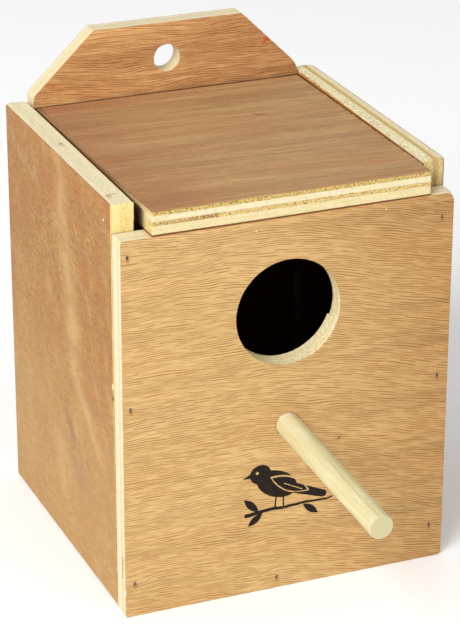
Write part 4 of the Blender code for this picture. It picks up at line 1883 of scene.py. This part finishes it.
    def scatter(self, name, body, slot, path, direction, times, tree, material, settings):
        """Grows one edge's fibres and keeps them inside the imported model's box."""
        mesh = bpy.data.meshes.new(name)
        mesh.from_pydata(path, [(i, i + 1) for i in range(len(path) - 1)], [])
        piece = add_piece(name, mesh)
        scattered = piece.modifiers.new("fibres", "NODES")
        scattered.node_group = tree
        values = {
            "Spacing": settings.spacing,
            "Length": settings.length * times,
            "Radius": settings.radius,
            "Direction": direction,
            "Seed": settings.seed + len(name),
            "Material": material,
        }
        for item in tree.interface.items_tree:
            if item.item_type == "SOCKET" and item.in_out == "INPUT" and item.name in values:
                scattered[item.identifier] = values[item.name]
        bake_modifiers(piece)
        low, high = CAD_BOX
        for vertex in piece.data.vertices:
            for axis in range(3):
                vertex.co[axis] = min(max(vertex.co[axis], low[axis]), high[axis])
        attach(piece, body)


# ---------------------------------------------------------------- studio


class NESTBOX_OT_studio(bpy.types.Operator):
    """Sets up the white floor, the soft lights and the camera"""

    bl_idname = "nestbox.studio"
    bl_label = "Studio"

    def execute(self, context):
        settings = context.scene.nest_box_studio
        self.make_floor()
        self.light("key_light", (-1.80, -1.38, 1.75), size=1.5, power=settings.key)
        self.light("fill_light", (1.2, -2.2, 2.0), size=2.0, power=settings.key * 0.10)
        world = bpy.data.worlds.new("white_room")
        world.use_nodes = True
        background = world.node_tree.nodes["Background"]
        background.inputs["Color"].default_value = (1.0, 1.0, 1.0, 1.0)
        background.inputs["Strength"].default_value = settings.sky
        context.scene.world = world
        context.scene.view_settings.view_transform = "Standard"
        self.make_camera(context, settings)
        return {"FINISHED"}

    def make_floor(self):
        shape = bmesh.new()
        bmesh.ops.create_grid(shape, x_segments=1, y_segments=1, size=6.0)
        mesh = bpy.data.meshes.new("studio_floor")
        shape.to_mesh(mesh)
        shape.free()
        floor = add_piece("studio_floor", mesh)
        finish = Finish("studio_white", roughness=0.9, specular=0.1)
        finish.shader.inputs["Base Color"].default_value = (0.99, 0.99, 0.99, 1.0)
        mesh.materials.append(finish.material)

    def light(self, name, place, size, power):
        """A round soft light that points at the box's middle."""
        middle = Vector((0.0, 0.0, 0.08))
        lamp = bpy.data.lights.new(name, "AREA")
        lamp.shape = "DISK"
        lamp.size = size
        lamp.energy = power
        holder = bpy.data.objects.new(name, lamp)
        bpy.context.scene.collection.objects.link(holder)
        holder.location = place
        holder.rotation_euler = (middle - Vector(place)).to_track_quat("-Z", "Y").to_euler()

    def make_camera(self, context, settings):
        camera = bpy.data.cameras.new("camera")
        camera.lens = settings.lens
        camera.sensor_width = 36.0
        camera.shift_x = -0.0167
        camera.shift_y = 0.0503
        camera.clip_start = 0.05
        camera.clip_end = 20.0
        holder = bpy.data.objects.new("camera", camera)
        context.scene.collection.objects.link(holder)
        turn = (
            Matrix.Rotation(settings.azimuth, 4, "Z")
            @ Matrix.Rotation(math.radians(90) - settings.elevation, 4, "X")
            @ Matrix.Rotation(settings.roll, 4, "Z")
        )
        holder.matrix_world = Matrix.Translation(settings.place) @ turn
        context.scene.camera = holder


# ---------------------------------------------------------------- the add-on


SETTINGS = {
    "nest_box_boards": NestBoxBoardSettings,
    "nest_box_fibres": NestBoxFibreSettings,
    "nest_box_colours": NestBoxColourSettings,
    "nest_box_studio": NestBoxStudioSettings,
}

OPERATORS = (
    NESTBOX_OT_front_panel,
    NESTBOX_OT_side_panels,
    NESTBOX_OT_back_panel,
    NESTBOX_OT_floor_panel,
    NESTBOX_OT_lid,
    NESTBOX_OT_perch,
    NESTBOX_OT_nails,
    NESTBOX_OT_fibres,
    NESTBOX_OT_studio,
)


class NESTBOX_PT_sidebar(bpy.types.Panel):
    """Lists the nest box's pieces and settings"""

    bl_idname = "NESTBOX_PT_sidebar"
    bl_label = "Nest box"
    bl_space_type = "VIEW_3D"
    bl_region_type = "UI"
    bl_category = "Nest box"

    def draw(self, context):
        for operator in OPERATORS:
            self.layout.operator(operator.bl_idname)
        for name, group in SETTINGS.items():
            box = self.layout.box()
            for prop in group.__annotations__:
                box.prop(getattr(context.scene, name), prop)


def register():
    for group in SETTINGS.values():
        bpy.utils.register_class(group)
    for name, group in SETTINGS.items():
        setattr(bpy.types.Scene, name, PointerProperty(type=group))
    for operator in OPERATORS:
        bpy.utils.register_class(operator)
    bpy.utils.register_class(NESTBOX_PT_sidebar)


def unregister():
    bpy.utils.unregister_class(NESTBOX_PT_sidebar)
    for operator in reversed(OPERATORS):
        bpy.utils.unregister_class(operator)
    for name in SETTINGS:
        delattr(bpy.types.Scene, name)
    for group in reversed(SETTINGS.values()):
        bpy.utils.unregister_class(group)


def main():
    for old in list(bpy.data.objects):
        if old.name in ("Cube", "Light", "Camera"):
            bpy.data.objects.remove(old)
    register()
    for operator in OPERATORS:
        group, name = operator.bl_idname.split(".")
        getattr(getattr(bpy.ops, group), name)()


if __name__ == "__main__":
    main()
